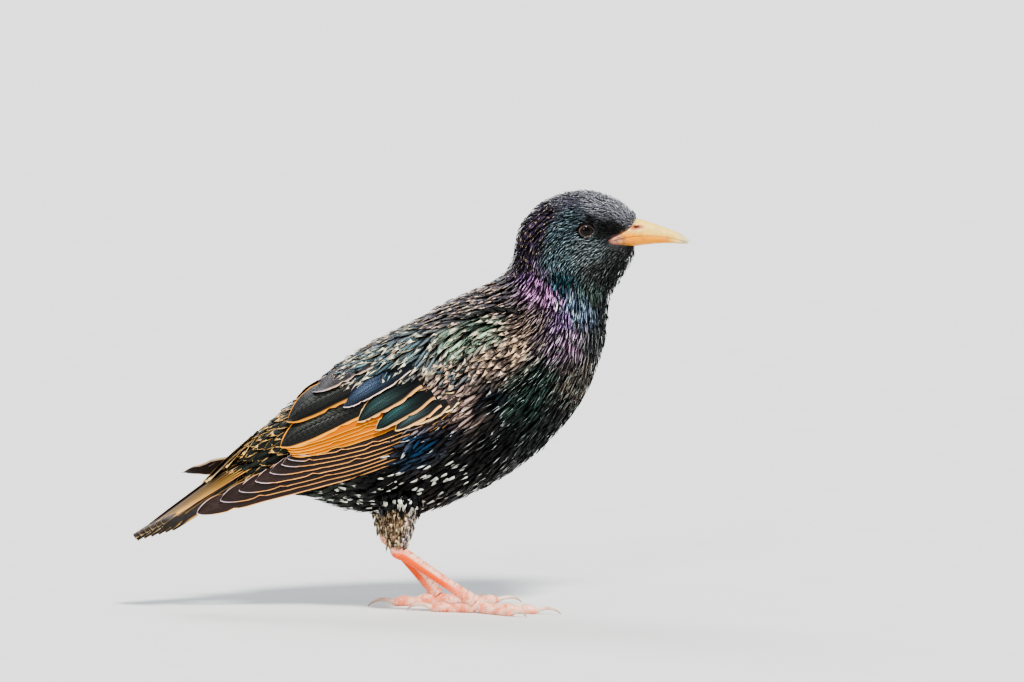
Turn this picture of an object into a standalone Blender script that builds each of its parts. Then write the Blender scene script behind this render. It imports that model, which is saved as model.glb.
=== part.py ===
"""European starling as a still, life-size display model.

Metres, +Z up. The bill points along +X and the bird stands on Z = 0, with the origin
under the middle of its outline. Sizes below are in millimetres in that same frame.
"""

import math
from collections import namedtuple

import bmesh
import bpy
from mathutils import Matrix, Vector

MM = 0.001
GAP = 0.3  # kept between neighbouring nodes
WELD = 1e-6  # below this distance, in metres, points are one
RIGHT, LEFT = -1, 1

# One section of the body: its highest and lowest point in side view, its greatest half
# width, and how far down the section that width lies, from 0 at the top to 1.
Section = namedtuple("Section", "top_x top_z low_x low_z half_width widest")

BODY = (
    Section(74.9, 128.6, 73.9, 120.0, 2.6, 0.50),  # feathers at the bill
    Section(72.3, 132.0, 72.9, 116.8, 4.3, 0.50),
    Section(68.3, 135.0, 71.3, 113.2, 6.4, 0.54),  # forehead to chin
    Section(63.0, 137.3, 69.0, 109.9, 8.1, 0.56),
    Section(57.1, 138.4, 66.7, 106.3, 9.7, 0.56),  # crown
    Section(50.5, 137.4, 65.3, 103.3, 11.1, 0.54),
    Section(44.2, 135.1, 64.7, 100.3, 12.1, 0.52),
    Section(39.3, 131.0, 64.2, 97.0, 12.7, 0.50),  # back of the head
    Section(36.0, 126.4, 63.9, 93.1, 13.2, 0.50),
    Section(34.5, 121.1, 63.4, 88.4, 13.8, 0.50),  # nape
    Section(33.7, 116.2, 62.0, 83.5, 14.8, 0.50),
    Section(31.7, 111.9, 60.1, 78.2, 16.4, 0.50),
    Section(27.7, 108.6, 57.1, 71.6, 18.6, 0.50),  # mantle to breast
    Section(20.5, 105.3, 51.5, 63.0, 20.8, 0.50),
    Section(9.6, 100.3, 42.9, 53.8, 22.2, 0.50),
    Section(-2.6, 92.4, 31.4, 44.9, 22.4, 0.50),
    Section(-16.2, 83.8, 17.2, 37.3, 21.4, 0.50),  # back to belly
    Section(-28.4, 75.6, 2.0, 31.9, 19.0, 0.48),
    Section(-38.3, 69.2, -12.9, 32.0, 15.4, 0.46),
    Section(-46.5, 62.4, -25.1, 34.3, 11.9, 0.44),
    Section(-53.1, 55.8, -35.0, 37.6, 8.8, 0.44),  # rump to vent
    Section(-58.1, 50.6, -44.9, 38.9, 6.6, 0.46),
    Section(-62.4, 46.6, -53.8, 39.6, 4.4, 0.50),
)
BODY_SIDES = 24
SURFACE_STEP, SEARCH_STEPS = 0.01, 40  # for the surface's slope and for finding a place on it
SURFACE_EDGE = 0.02  # places nearer to the surface's top or bottom line count as this far down
RINGS_PER_SECTION = 2

# The folded wings lie over this surface. It is the body's own from the mantle to the
# rump, and from there it runs on past the tail's sides to the wing tips.
FIRST_WING_SECTION, WING_SECTIONS_SHARED = 11, 8
WING_SHELL = BODY[FIRST_WING_SECTION : FIRST_WING_SECTION + WING_SECTIONS_SHARED] + (
    Section(-47.0, 64.0, -29.0, 29.5, 12.8, 0.46),
    Section(-57.0, 60.0, -41.5, 27.5, 10.6, 0.46),
    Section(-68.0, 55.0, -54.5, 26.5, 9.4, 0.46),
    Section(-78.0, 51.0, -68.0, 25.8, 8.6, 0.46),
    Section(-86.0, 48.0, -79.0, 25.0, 8.0, 0.46),
)

# Cuts through the body, as a point and the direction towards the head
HEAD_CUT = ((49.0, 113.6), (0.02, 1.0))
NECK_CUT = ((44.0, 95.0), (0.45, 0.89))
TAIL_CUT = ((-49.5, 46.5), (0.87, 0.49))

EYE_AT = (57.6, 126.4)
EYE_RADIUS = 3.4
EYE_SUNK = 2.5  # of the eye's centre below the head's surface
EYE_GAP = 0.25
EYE_SEGMENTS, EYE_RINGS = 16, 10
LID_RING, LID_THICK, LID_DEPTH = 2.5, 0.55, 2.55
LID_AROUND, LID_ACROSS = 16, 6
EYE_TURN = math.radians(9)  # how far the eyes look forward

# A bill section: x, the ridge or keel, the biting edge, and the half width
BillSection = namedtuple("BillSection", "x ridge edge half_width")
UPPER_BILL = (
    BillSection(63.9, 123.0, 121.9, 6.2),
    BillSection(66.2, 124.4, 122.4, 7.6),
    BillSection(69.0, 126.0, 123.1, 6.5),
    BillSection(72.0, 128.0, 123.6, 5.0),
    BillSection(74.6, 129.2, 123.8, 4.1),
    BillSection(78.6, 128.1, 123.8, 3.1),
    BillSection(82.4, 126.7, 123.4, 2.35),
    BillSection(86.0, 125.3, 122.8, 1.7),
    BillSection(89.0, 124.0, 122.1, 1.2),
    BillSection(91.0, 122.8, 121.7, 0.85),
    BillSection(91.9, 122.0, 121.4, 0.45),
)
LOWER_BILL = (
    BillSection(63.9, 120.9, 121.6, 6.2),
    BillSection(66.2, 119.9, 122.1, 7.5),
    BillSection(69.0, 119.5, 122.8, 6.3),
    BillSection(72.0, 119.9, 123.3, 4.8),
    BillSection(74.6, 120.4, 123.5, 3.8),
    BillSection(78.6, 120.9, 123.5, 2.8),
    BillSection(82.4, 121.0, 123.1, 2.1),
    BillSection(86.0, 121.0, 122.5, 1.4),
    BillSection(88.6, 120.9, 121.8, 0.9),
    BillSection(90.4, 120.9, 121.3, 0.5),
)
BILL_SIDES = 10
BILL_SQUARENESS, BILL_ARCH = 0.85, 0.8  # powers that shape a section's side and top
NOSTRIL_AT = (74.6, 126.5)
NOSTRIL_SIZE = (1.1, 1.2, 0.45)
NOSTRIL_TURN = math.radians(18)
NOSTRIL_SEGMENTS, NOSTRIL_RINGS = 10, 6
BILL_HALF_AT_NOSTRIL = 3.3

# A feather in side view. Each runs from root to tip, half_width on each side, and lies
# lift above the wing's surface at its middle line, its lower edge raised by tilt.
VANE_THICK = 0.5
# A feather's plan: at each step along it, its width and how far it lies above its tip,
# both in half widths, and then its columns of points
Plan = namedtuple("Plan", "steps columns")
LONG = Plan(
    ((0.0, 0.6, 0.35), (0.35, 1.0, 0.35), (0.72, 0.93, 0.3), (0.91, 0.55, 0.15), (1.0, 0.14, 0.0)),
    (-1, 0, 1),
)
SHORT = Plan(((0.0, 0.55, 0.35), (0.5, 1.0, 0.3), (0.83, 0.75, 0.15), (1.0, 0.16, 0.0)), (-1, 1))

PRIMARY_TIPS = (
    (-38.0, 53.0),
    (-39.8, 51.2),
    (-42.0, 49.4),
    (-46.0, 46.8),
    (-51.0, 43.8),
    (-56.6, 40.6),
    (-62.8, 37.4),
    (-70.6, 33.2),
)
FIRST_PRIMARY_ROOT, LAST_PRIMARY_ROOT = (2.0, 63.5), (2.0, 54.5)
PRIMARY_HALF, PRIMARY_TILT = 2.7, 1.8
PRIMARY_LIFT, LIFT_STEP = 1.5, 0.22
SECONDARY_ROOTS = ((2.0, 68.0), (2.0, 71.0))
SECONDARY_TIPS = ((-38.4, 52.2), (-40.6, 54.6))
SECONDARIES, SECONDARY_HALF, SECONDARY_TILT = 3, 3.0, 1.7
TERTIALS = (  # root, tip, half width, lift, tilt
    ((-2.0, 73.5), (-42.0, 54.4), 4.2, 3.9, 1.2),
    ((-1.0, 80.5), (-39.4, 61.4), 4.3, 4.0, 1.8),
    ((0.0, 87.0), (-30.6, 70.2), 4.0, 3.6, 3.0),
)
GREATER_COVERTS = (  # tip, length
    ((-20.4, 67.0), 24.0),
    ((-16.3, 63.2), 22.0),
    ((-10.7, 61.2), 20.0),
    ((-4.5, 61.4), 17.0),
    ((1.5, 63.4), 14.0),
    ((7.0, 66.2), 12.0),
    ((13.0, 71.0), 11.0),
)
GREATER_HALF, GREATER_TILT = 3.2, 1.1
GREATER_LIFTS = (5.3, 4.6)
MEDIAN_COVERTS = 6
MEDIAN_TIPS = ((-4.0, 75.5), (21.0, 79.5))
MEDIAN_LENGTH, MEDIAN_HALF, MEDIAN_LIFTS = 10.0, 2.7, (5.5, 5.0)
SCAPULARS = 5
SCAPULAR_TIPS = ((-17.5, 78.5), (5.5, 80.0))
SCAPULAR_LENGTH, SCAPULAR_HALF, SCAPULAR_TILT = 17.0, 3.7, 2.0
SCAPULAR_LIFTS = (4.6, 6.1)
PRIMARY_COVERTS = 4
PRIMARY_COVERT_TIPS = ((-2.0, 63.5), (-3.0, 55.5))
PRIMARY_COVERT_LENGTH, PRIMARY_COVERT_HALF = 18.0, 2.2
PRIMARY_COVERT_LIFTS = (3.9, 2.7)
COVERT_SLOPE = math.radians(29)  # of a covert's root above its tip

# What the feathers grow from, along its middle line: x, z, half width and outer lift
SHOULDER = (
    (34.0, 87.5, 3.5, 1.4),
    (26.0, 89.5, 5.0, 3.4),
    (14.0, 86.5, 8.0, 4.6),
    (2.0, 83.0, 9.0, 4.2),
    (-6.0, 79.0, 8.0, 3.0),
)
ARM = (
    (37.5, 84.5, 4.5, 1.6),
    (32.0, 82.5, 8.5, 2.9),
    (22.0, 77.5, 12.0, 4.0),
    (10.0, 70.0, 13.0, 4.3),
    (0.0, 64.0, 13.0, 3.8),
    (-7.0, 60.5, 11.5, 2.6),
)
ARM_INNER_LIFT = 0.45
MOUND_EDGE = 0.6
ACROSS_ARM = (0.42, 0.9)
ARM_ACROSS = 6

# The left wing's hand is folded higher, so that its tip clears the tail
LEFT_HAND_PIVOT = (3.0, 62.0)
LEFT_HAND_TURN = math.radians(8.5)
LEFT_HAND_LEAST = 0.3  # of that turn, for the innermost primary
LEFT_HAND_LONGER = 0.03  # how much further the outermost one reaches

TAIL_ROOT = (-47.5, 52.1)
TAIL_DIRECTION = (-0.829, -0.559)
TAIL_LENGTH = 52.4
TAIL_ROLL = math.radians(14)  # the right edge is raised
TAIL_PAIRS = 6
TAIL_HALF, TAIL_TILT = 3.2, 2.0
TAIL_TILT_START, TAIL_TILT_GAIN = 0.3, 2.0  # less tilt near a feather's root
# Of the inner and the outer feather's middle line: how far it lies from the tail's own
# and above it, at the root and at the tip
TAIL_ROOT_SPREADS, TAIL_TIP_SPREADS = (0.5, 2.8), (1.6, 8.6)
TAIL_ROOT_LEVELS, TAIL_TIP_LEVELS = (3.0, -2.0), (0.9, -1.6)
TAIL_PAIR_APART = 0.12  # how much higher the right feather of a pair lies, and the left lower
TAIL_OUTER_SHORTER = 11.0
# Coverts over and under the tail: level at the root, at the tip, start and length
UPPER_TAIL_COVERTS = (5.2, 2.0, 4.5, 20.0)
UNDER_TAIL_COVERTS = (-4.6, -4.0, 1.0, 27.0)
TAIL_COVERTS = 5
TAIL_COVERT_HALF = 2.6
TAIL_COVERT_SPREADS, TAIL_COVERT_SHORTER = (2.0, 5.2), 3.0
TAIL_COVERT_CROWN, TAIL_COVERT_TILT = 0.9, 0.5

# Legs: hip inside the belly, ankle and the foot's middle, as (x, y, z) on the right
Leg = namedtuple("Leg", "side hip ankle foot heading")
LEGS = (
    Leg(RIGHT, (-3.0, 7.5, 45.0), (-4.8, 11.0, 20.8), (21.6, 12.0, 2.9), -12.0),
    Leg(LEFT, (-6.5, 7.5, 46.0), (-8.6, 10.6, 23.4), (8.8, 12.0, 2.9), 12.0),
)
SHANK_RADII = (7.4, 6.9, 5.0, 2.9)
ANKLE_REACH = 2.6  # bare skin above the ankle
ANKLE_RADII, ANKLE_ROUNDING = (1.95, 2.2), 0.6
TARSUS_RADII = (2.25, 2.0, 1.85, 1.85, 2.1)
FOOT_PAD_RADIUS = 2.6
FOOT_PAD_SEGMENTS, FOOT_PAD_RINGS = 14, 10
FOOT_STUB = 7.0  # the tarsus's lower end that belongs to the foot
FLOOR_SIZE = (120.0, 120.0, 20.0)  # of the block that cuts the feet flat
# A toe: its name, bearing from the foot's heading, length, claw length and radius
Toe = namedtuple("Toe", "name bearing length claw radius joints")
TOES = (
    Toe("hind", 178.0, 16.0, 7.8, 1.85, 2),
    Toe("inner", 33.0, 14.5, 6.0, 1.5, 2),
    Toe("middle", 0.0, 21.0, 7.0, 1.6, 3),
    Toe("outer", -32.0, 17.0, 5.6, 1.45, 4),
)
TOE_SIDES_RESOLUTION, TOE_POINTS = 1, 9
TOE_ROOT_SHARE, TOE_TAPER, PAD_DEPTH = 1.12, 0.3, 0.12  # in toe radii
TOE_ROOT_LOWER = 0.3  # of a toe's root below the foot's middle
FLAT_DEPTH = 0.22  # how much of each pad the floor takes off
CLAW_POINTS = 6
CLAW_ROOT_SHARE, CLAW_POINT_RADIUS = 0.5, 0.16
CLAW_CURL, CLAW_RISE, CLAW_DROP = 1.2, 0.9, 0.35
CLAW_CLEAR = 0.1  # left between a claw and the toe's gap, and below it

COLOURS = {
    "plumage": ((0.045, 0.05, 0.055), 0.42, 0.3),
    "wing_plumage": ((0.16, 0.11, 0.08), 0.5, 0.1),
    "bill": ((0.86, 0.62, 0.25), 0.35, 0.0),
    "eye": ((0.02, 0.012, 0.01), 0.05, 0.0),
    "shank_plumage": ((0.3, 0.24, 0.17), 0.7, 0.0),
    "leg_skin": ((0.82, 0.42, 0.28), 0.5, 0.0),
    "claw": ((0.55, 0.42, 0.36), 0.4, 0.0),
}


# Scene helpers


def clear_scene():
    for obj in list(bpy.data.objects):
        bpy.data.objects.remove(obj)


def new_collection(name):
    collection = bpy.data.collections.new(name)
    bpy.context.scene.collection.children.link(collection)
    return collection


def make_materials():
    made = {}
    for name, (colour, roughness, metallic) in COLOURS.items():
        material = bpy.data.materials.new(name)
        material.use_nodes = True
        shader = material.node_tree.nodes["Principled BSDF"]
        shader.inputs["Base Color"].default_value = (*colour, 1.0)
        shader.inputs["Roughness"].default_value = roughness
        shader.inputs["Metallic"].default_value = metallic
        made[name] = material
    return made


def mesh_object(name, bm, collection):
    """A new object that holds the bmesh, scaled from millimetres to metres."""
    bmesh.ops.recalc_face_normals(bm, faces=bm.faces[:])
    bm.transform(Matrix.Scale(MM, 4))
    mesh = bpy.data.meshes.new(name)
    bm.to_mesh(mesh)
    bm.free()
    obj = bpy.data.objects.new(name, mesh)
    collection.objects.link(obj)
    return obj


def apply_modifiers(obj):
    graph = bpy.context.evaluated_depsgraph_get()
    mesh = bpy.data.meshes.new_from_object(obj.evaluated_get(graph))
    obj.modifiers.clear()
    obj.data = mesh


def keep_largest_body(obj):
    """Drops the loose scraps that a union or a cut leaves."""
    bm = bmesh.new()
    bm.from_mesh(obj.data)
    unseen = set(bm.verts)
    bodies = []
    while unseen:
        front = [unseen.pop()]
        body = set(front)
        while front:
            vert = front.pop()
            for edge in vert.link_edges:
                other = edge.other_vert(vert)
                if other in unseen:
                    unseen.discard(other)
                    body.add(other)
                    front.append(other)
        bodies.append(body)
    bodies.sort(key=len)
    for body in bodies[:-1]:
        bmesh.ops.delete(bm, geom=list(body), context="VERTS")
    bm.to_mesh(obj.data)
    bm.free()


def fuse(base, pieces):
    """Joins the pieces to the base with one Boolean union and removes them."""
    collection = new_collection("pieces of " + base.name)
    for piece in pieces:
        for old in piece.users_collection:
            old.objects.unlink(piece)
        collection.objects.link(piece)
    union = base.modifiers.new("union", "BOOLEAN")
    union.operation = "UNION"
    union.operand_type = "COLLECTION"
    union.collection = collection
    union.solver = "MANIFOLD"
    apply_modifiers(base)
    for piece in pieces:
        bpy.data.objects.remove(piece)
    bpy.data.collections.remove(collection)
    keep_largest_body(base)
    return base


def cut(obj, cutter):
    """Takes the cutter away from the object and removes the cutter."""
    difference = obj.modifiers.new("cut", "BOOLEAN")
    difference.operation = "DIFFERENCE"
    difference.object = cutter
    difference.solver = "MANIFOLD"
    apply_modifiers(obj)
    bpy.data.objects.remove(cutter)
    keep_largest_body(obj)
    return obj


def finish(obj, material):
    obj.data.materials.clear()
    obj.data.materials.append(material)
    obj.data.shade_smooth()
    obj.data.set_sharp_from_angle(angle=math.radians(40))


# Lofted forms


def blend_along(values, u):
    """The smooth curve through evenly spaced values, at u."""
    last = len(values) - 1
    i = min(max(int(u), 0), last - 1)
    t = u - i
    before, here = values[max(i - 1, 0)], values[i]
    after, beyond = values[i + 1], values[min(i + 2, last)]
    return 0.5 * (
        2 * here
        + (after - before) * t
        + (2 * before - 5 * here + 4 * after - beyond) * t**2
        + (3 * here - before - 3 * after + beyond) * t**3
    )


class Loft:
    """A smooth surface through sections, each drawn in a plane that holds the Y axis."""

    def __init__(self, sections):
        self.fields = [list(values) for values in zip(*sections)]
        self.last = len(sections) - 1

    def section(self, u):
        return Section(*(blend_along(values, u) for values in self.fields))

    def point(self, u, angle):
        """Angle runs from 0 at the top, through the left side, to pi at the bottom."""
        s = self.section(u)
        rise = math.cos(angle)
        down = s.widest * (1 - rise) if rise > 0 else s.widest - (1 - s.widest) * rise
        x = s.top_x + (s.low_x - s.top_x) * down
        z = s.top_z + (s.low_z - s.top_z) * down
        return Vector((x, s.half_width * math.sin(angle), z))

    def normal(self, u, angle):
        low, high = max(u - SURFACE_STEP, 0), min(u + SURFACE_STEP, self.last)
        along = self.point(high, angle) - self.point(low, angle)
        around = self.point(u, angle + SURFACE_STEP) - self.point(u, angle - SURFACE_STEP)
        return around.cross(along).normalized()

    def locate(self, x, z):
        """The (u, angle) of the surface's left side at a point of the side view."""

        def side_of(u):
            s = self.section(u)
            down_x, down_z = s.low_x - s.top_x, s.low_z - s.top_z
            return down_x * (z - s.top_z) - down_z * (x - s.top_x)

        low, high = 0.0, float(self.last)
        for _ in range(SEARCH_STEPS):
            middle = (low + high) / 2
            if side_of(middle) * side_of(0.0) > 0:
                low = middle
            else:
                high = middle
        s = self.section(low)
        line = Vector((s.low_x - s.top_x, s.low_z - s.top_z))
        down = Vector((x - s.top_x, z - s.top_z)).dot(line) / line.length_squared
        down = min(max(down, SURFACE_EDGE), 1 - SURFACE_EDGE)
        if down < s.widest:
            return low, math.acos(1 - down / s.widest)
        return low, math.acos((s.widest - down) / (1 - s.widest))

    def over(self, x, z, lift, side):
        """The point that lies lift above the surface at (x, z) of the side view."""
        u, angle = self.locate(x, z)
        point = self.point(u, angle) + self.normal(u, angle) * lift
        return Vector((point.x, point.y * side, point.z))


def loft_rings(rings):
    """A closed bmesh through rings of as many points each."""
    bm = bmesh.new()
    rows = [[bm.verts.new(point) for point in ring] for ring in rings]
    count = len(rows[0])
    for first, second in zip(rows, rows[1:]):
        for j in range(count):
            k = (j + 1) % count
            bm.faces.new((first[j], first[k], second[k], second[j]))
    bm.faces.new(rows[0])
    bm.faces.new(rows[-1])
    return bm


def body_solid(grow=0.0):
    """The whole body from the bill's root to the tail's, its skin moved out by grow."""
    surface = Loft(BODY)
    rings = []
    count = surface.last * RINGS_PER_SECTION
    for i in range(count + 1):
        u = i / RINGS_PER_SECTION
        ring = []
        for j in range(BODY_SIDES):
            angle = 2 * math.pi * j / BODY_SIDES
            ring.append(surface.point(u, angle) + surface.normal(u, angle) * grow)
        rings.append(ring)
    return loft_rings(rings)


def keep_side(bm, cut_line, towards, offset):
    """Keeps the part of the bmesh on one side of a cut, offset away from its plane."""
    (x, z), (nx, nz) = cut_line
    normal = Vector((nx, 0, nz)).normalized() * towards
    place = Vector((x, 0, z)) + normal * offset
    made = bmesh.ops.bisect_plane(
        bm,
        geom=bm.verts[:] + bm.edges[:] + bm.faces[:],
        dist=WELD,
        plane_co=place,
        plane_no=-normal,
        clear_outer=True,
    )
    edges = [item for item in made["geom_cut"] if isinstance(item, bmesh.types.BMEdge)]
    bmesh.ops.contextual_create(bm, geom=edges)
    return bm


def tube(name, points, radii, collection, resolution=2):
    """A closed mesh tube along the points, made from a bevelled curve."""
    curve = bpy.data.curves.new(name, "CURVE")
    curve.dimensions = "3D"
    curve.bevel_depth = MM
    curve.bevel_resolution = resolution
    curve.use_fill_caps = True
    line = curve.splines.new("POLY")
    line.points.add(len(points) - 1)
    for spot, point, radius in zip(line.points, points, radii):
        spot.co = (*(Vector(point) * MM), 1.0)
        spot.radius = radius
    drawn = bpy.data.objects.new(name, curve)
    collection.objects.link(drawn)
    graph = bpy.context.evaluated_depsgraph_get()
    mesh = bpy.data.meshes.new_from_object(drawn.evaluated_get(graph))
    bpy.data.objects.remove(drawn)
    bm = bmesh.new()
    bm.from_mesh(mesh)
    bpy.data.meshes.remove(mesh)
    bmesh.ops.remove_doubles(bm, verts=bm.verts[:], dist=WELD)
    bm.transform(Matrix.Scale(1 / MM, 4))
    return mesh_object(name, bm, collection)


def thin_sheet(outer, inner):
    """A closed bmesh between two grids of points, split into triangles alike on both."""
    bm = bmesh.new()
    tops = [[bm.verts.new(point) for point in row] for row in outer]
    lows = [[bm.verts.new(point) for point in row] for row in inner]
    rows, columns = len(tops), len(tops[0])
    for i in range(rows - 1):
        for j in range(columns - 1):
            for grid in (tops, lows):
                a, b = grid[i][j], grid[i][j + 1]
                c, d = grid[i + 1][j + 1], grid[i + 1][j]
                bm.faces.new((a, b, c))
                bm.faces.new((a, c, d))
    rim = [(i, 0) for i in range(rows)]
    rim += [(rows - 1, j) for j in range(1, columns)]
    rim += [(i, columns - 1) for i in range(rows - 2, -1, -1)]
    rim += [(0, j) for j in range(columns - 2, 0, -1)]
    for (i, j), (k, m) in zip(rim, rim[1:] + rim[:1]):
        bm.faces.new((tops[i][j], tops[k][m], lows[k][m], lows[i][j]))
    return bm


def between(a, b, t):
    return a + (b - a) * t


def lerp(a, b, t):
    return tuple(between(p, q, t) for p, q in zip(a, b))


# Feathers


def wing_vane(surface, side, root, tip, half, lift, tilt, plan, collection):
    """One feather over the wing's surface. Its lower edge lies over its neighbour."""
    line = Vector((tip[0] - root[0], tip[1] - root[1]))
    across = Vector((line.y, -line.x)).normalized()
    if across.y < 0:
        across = -across
    outer, inner = [], []
    for along, width, above in plan.steps:
        middle = Vector(root) + line * along + across * (half * above)
        row_out, row_in = [], []
        for b in plan.columns:
            x, z = middle + across * (half * width * b)
            height = lift - b * tilt / 2
            row_out.append(surface.over(x, z, height + VANE_THICK / 2, side))
            row_in.append(surface.over(x, z, height - VANE_THICK / 2, side))
        outer.append(row_out)
        inner.append(row_in)
    return mesh_object("vane", thin_sheet(outer, inner), collection)


def mound(name, stations, surface, side, collection):
    """A low mound on the body's side, such as the wing's arm or its shoulder."""
    outer, inner = [], []
    for x, z, half, lift in stations:
        row_out, row_in = [], []
        for j in range(ARM_ACROSS + 1):
            b = 2 * j / ARM_ACROSS - 1
            place_x, place_z = x + half * b * ACROSS_ARM[0], z + half * b * ACROSS_ARM[1]
            height = ARM_INNER_LIFT + MOUND_EDGE + (lift - MOUND_EDGE) * (1 - b**4)
            row_out.append(surface.over(place_x, place_z, height, side))
            row_in.append(surface.over(place_x, place_z, ARM_INNER_LIFT, side))
        outer.append(row_out)
        inner.append(row_in)
    return mesh_object(name, thin_sheet(outer, inner), collection)


def turned(point, pivot, angle, stretch):
    """A side-view point turned about a pivot, the tail end upwards, and moved off it."""
    x, z = point[0] - pivot[0], point[1] - pivot[1]
    c, s = stretch * math.cos(angle), stretch * math.sin(angle)
    return (pivot[0] + x * c + z * s, pivot[1] - x * s + z * c)


def wing_feathers(side, collection):
    """Every flight feather and covert of one folded wing."""
    surface = Loft(WING_SHELL)
    made = []

    def add(root, tip, half, lift, tilt, plan):
        made.append(wing_vane(surface, side, root, tip, half, lift, tilt, plan, collection))

    last = len(PRIMARY_TIPS) - 1
    for i, tip in enumerate(PRIMARY_TIPS):
        root = lerp(FIRST_PRIMARY_ROOT, LAST_PRIMARY_ROOT, i / last)
        if side == LEFT:
            turn = LEFT_HAND_TURN * between(LEFT_HAND_LEAST, 1.0, i / last)
            tip = turned(tip, LEFT_HAND_PIVOT, turn, 1 + LEFT_HAND_LONGER * i / last)
        lift = PRIMARY_LIFT + LIFT_STEP * (last - i)
        add(root, tip, PRIMARY_HALF, lift, PRIMARY_TILT, LONG)
    top_lift = PRIMARY_LIFT + LIFT_STEP * last
    for i in range(SECONDARIES):
        t = i / (SECONDARIES - 1)
        root, tip = lerp(*SECONDARY_ROOTS, t), lerp(*SECONDARY_TIPS, t)
        lift = top_lift + LIFT_STEP * (i + 1)
        add(root, tip, SECONDARY_HALF, lift, SECONDARY_TILT, LONG)
    for tertial in TERTIALS:
        add(*tertial, LONG)

    back = Vector((math.cos(COVERT_SLOPE), math.sin(COVERT_SLOPE)))
    for i in range(PRIMARY_COVERTS):
        t = i / (PRIMARY_COVERTS - 1)
        tip = Vector(lerp(*PRIMARY_COVERT_TIPS, t))
        lift = between(*PRIMARY_COVERT_LIFTS, t)
        root = tip + back * PRIMARY_COVERT_LENGTH
        add(root, tip, PRIMARY_COVERT_HALF, lift, GREATER_TILT, SHORT)
    for i, (tip, length) in enumerate(GREATER_COVERTS):
        t = i / (len(GREATER_COVERTS) - 1)
        lift = between(*GREATER_LIFTS, t)
        add(Vector(tip) + back * length, tip, GREATER_HALF, lift, GREATER_TILT, SHORT)
    for i in range(MEDIAN_COVERTS):
        t = i / (MEDIAN_COVERTS - 1)
        tip = Vector(lerp(*MEDIAN_TIPS, t))
        lift = between(*MEDIAN_LIFTS, t)
        add(tip + back * MEDIAN_LENGTH, tip, MEDIAN_HALF, lift, GREATER_TILT, SHORT)
    for i in range(SCAPULARS):
        t = i / (SCAPULARS - 1)
        tip = Vector(lerp(*SCAPULAR_TIPS, t))
        lift = between(*SCAPULAR_LIFTS, t)
        add(tip + back * SCAPULAR_LENGTH, tip, SCAPULAR_HALF, lift, SCAPULAR_TILT, SHORT)
    return made


def make_wing(name, side, collection):
    surface = Loft(WING_SHELL)
    wing = mound(name, ARM, surface, side, collection)
    shoulder = mound("shoulder", SHOULDER, surface, side, collection)
    fuse(wing, [shoulder] + wing_feathers(side, collection))
    cut(wing, mesh_object("torso room", body_solid(GAP), collection))
    return wing


def tail_vane(frame, sides, reach, half, levels, tilt, plan, collection):
    """One tail feather in the tail's own frame: along it, to its left and above it."""
    origin, along_axis, left_axis, up_axis = frame
    start, length = reach
    edge = 0 if sides[1] == 0 else math.copysign(1, sides[1])
    outer, inner = [], []
    for along, width, _ in plan.steps:
        row_out, row_in = [], []
        for b in plan.columns:
            left = sides[0] + (sides[1] - sides[0]) * along + half * width * b
            height = levels[0] + (levels[1] - levels[0]) * along
            tilted = min(1.0, TAIL_TILT_START + along * TAIL_TILT_GAIN)
            level = height + b * edge * tilt / 2 * tilted
            base = origin + along_axis * (start + length * along) + left_axis * left
            row_out.append(base + up_axis * (level + VANE_THICK / 2))
            row_in.append(base + up_axis * (level - VANE_THICK / 2))
        outer.append(row_out)
        inner.append(row_in)
    return mesh_object("vane", thin_sheet(outer, inner), collection)


def make_tail(name, collection):
    """The tail's root with its coverts and twelve feathers, the middle pair on top."""
    along = Vector((TAIL_DIRECTION[0], 0, TAIL_DIRECTION[1])).normalized()
    roll = Matrix.Rotation(TAIL_ROLL, 3, along)
    left = roll @ Vector((0, 1, 0))
    up = left.cross(along)
    if up.z < 0:
        up = -up
    frame = (Vector((TAIL_ROOT[0], 0, TAIL_ROOT[1])), along, left, up)
    pieces = []
    for i in range(TAIL_PAIRS):
        t = i / (TAIL_PAIRS - 1)
        for side in (RIGHT, LEFT):
            sides = [side * between(*spread, t) for spread in (TAIL_ROOT_SPREADS, TAIL_TIP_SPREADS)]
            levels = [between(*level, t) for level in (TAIL_ROOT_LEVELS, TAIL_TIP_LEVELS)]
            levels = [level - side * TAIL_PAIR_APART for level in levels]
            reach = (0.0, TAIL_LENGTH - TAIL_OUTER_SHORTER * t)
            pieces.append(
                tail_vane(
                    frame, sides, reach, TAIL_HALF, levels, TAIL_TILT, LONG, collection
                )
            )
    for sign, tier in ((1, UPPER_TAIL_COVERTS), (-1, UNDER_TAIL_COVERTS)):
        for i in range(TAIL_COVERTS):
            t = 2 * i / (TAIL_COVERTS - 1) - 1
            crown = sign * TAIL_COVERT_CROWN * (1 - abs(t))
            levels = (tier[0] + crown, tier[1] + crown)
            reach = (tier[2], tier[3] - TAIL_COVERT_SHORTER * abs(t))
            sides = (TAIL_COVERT_SPREADS[0] * t, TAIL_COVERT_SPREADS[1] * t)
            tilt = -sign * TAIL_COVERT_TILT
            pieces.append(
                tail_vane(
                    frame, sides, reach, TAIL_COVERT_HALF, levels, tilt, SHORT, collection
                )
            )
    stub = keep_side(body_solid(), TAIL_CUT, -1, GAP / 2)
    tail = mesh_object(name, stub, collection)
    fuse(tail, pieces)
    room = keep_side(body_solid(GAP), TAIL_CUT, 1, -GAP / 2)
    return cut(tail, mesh_object("torso room", room, collection))


# Head


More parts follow.
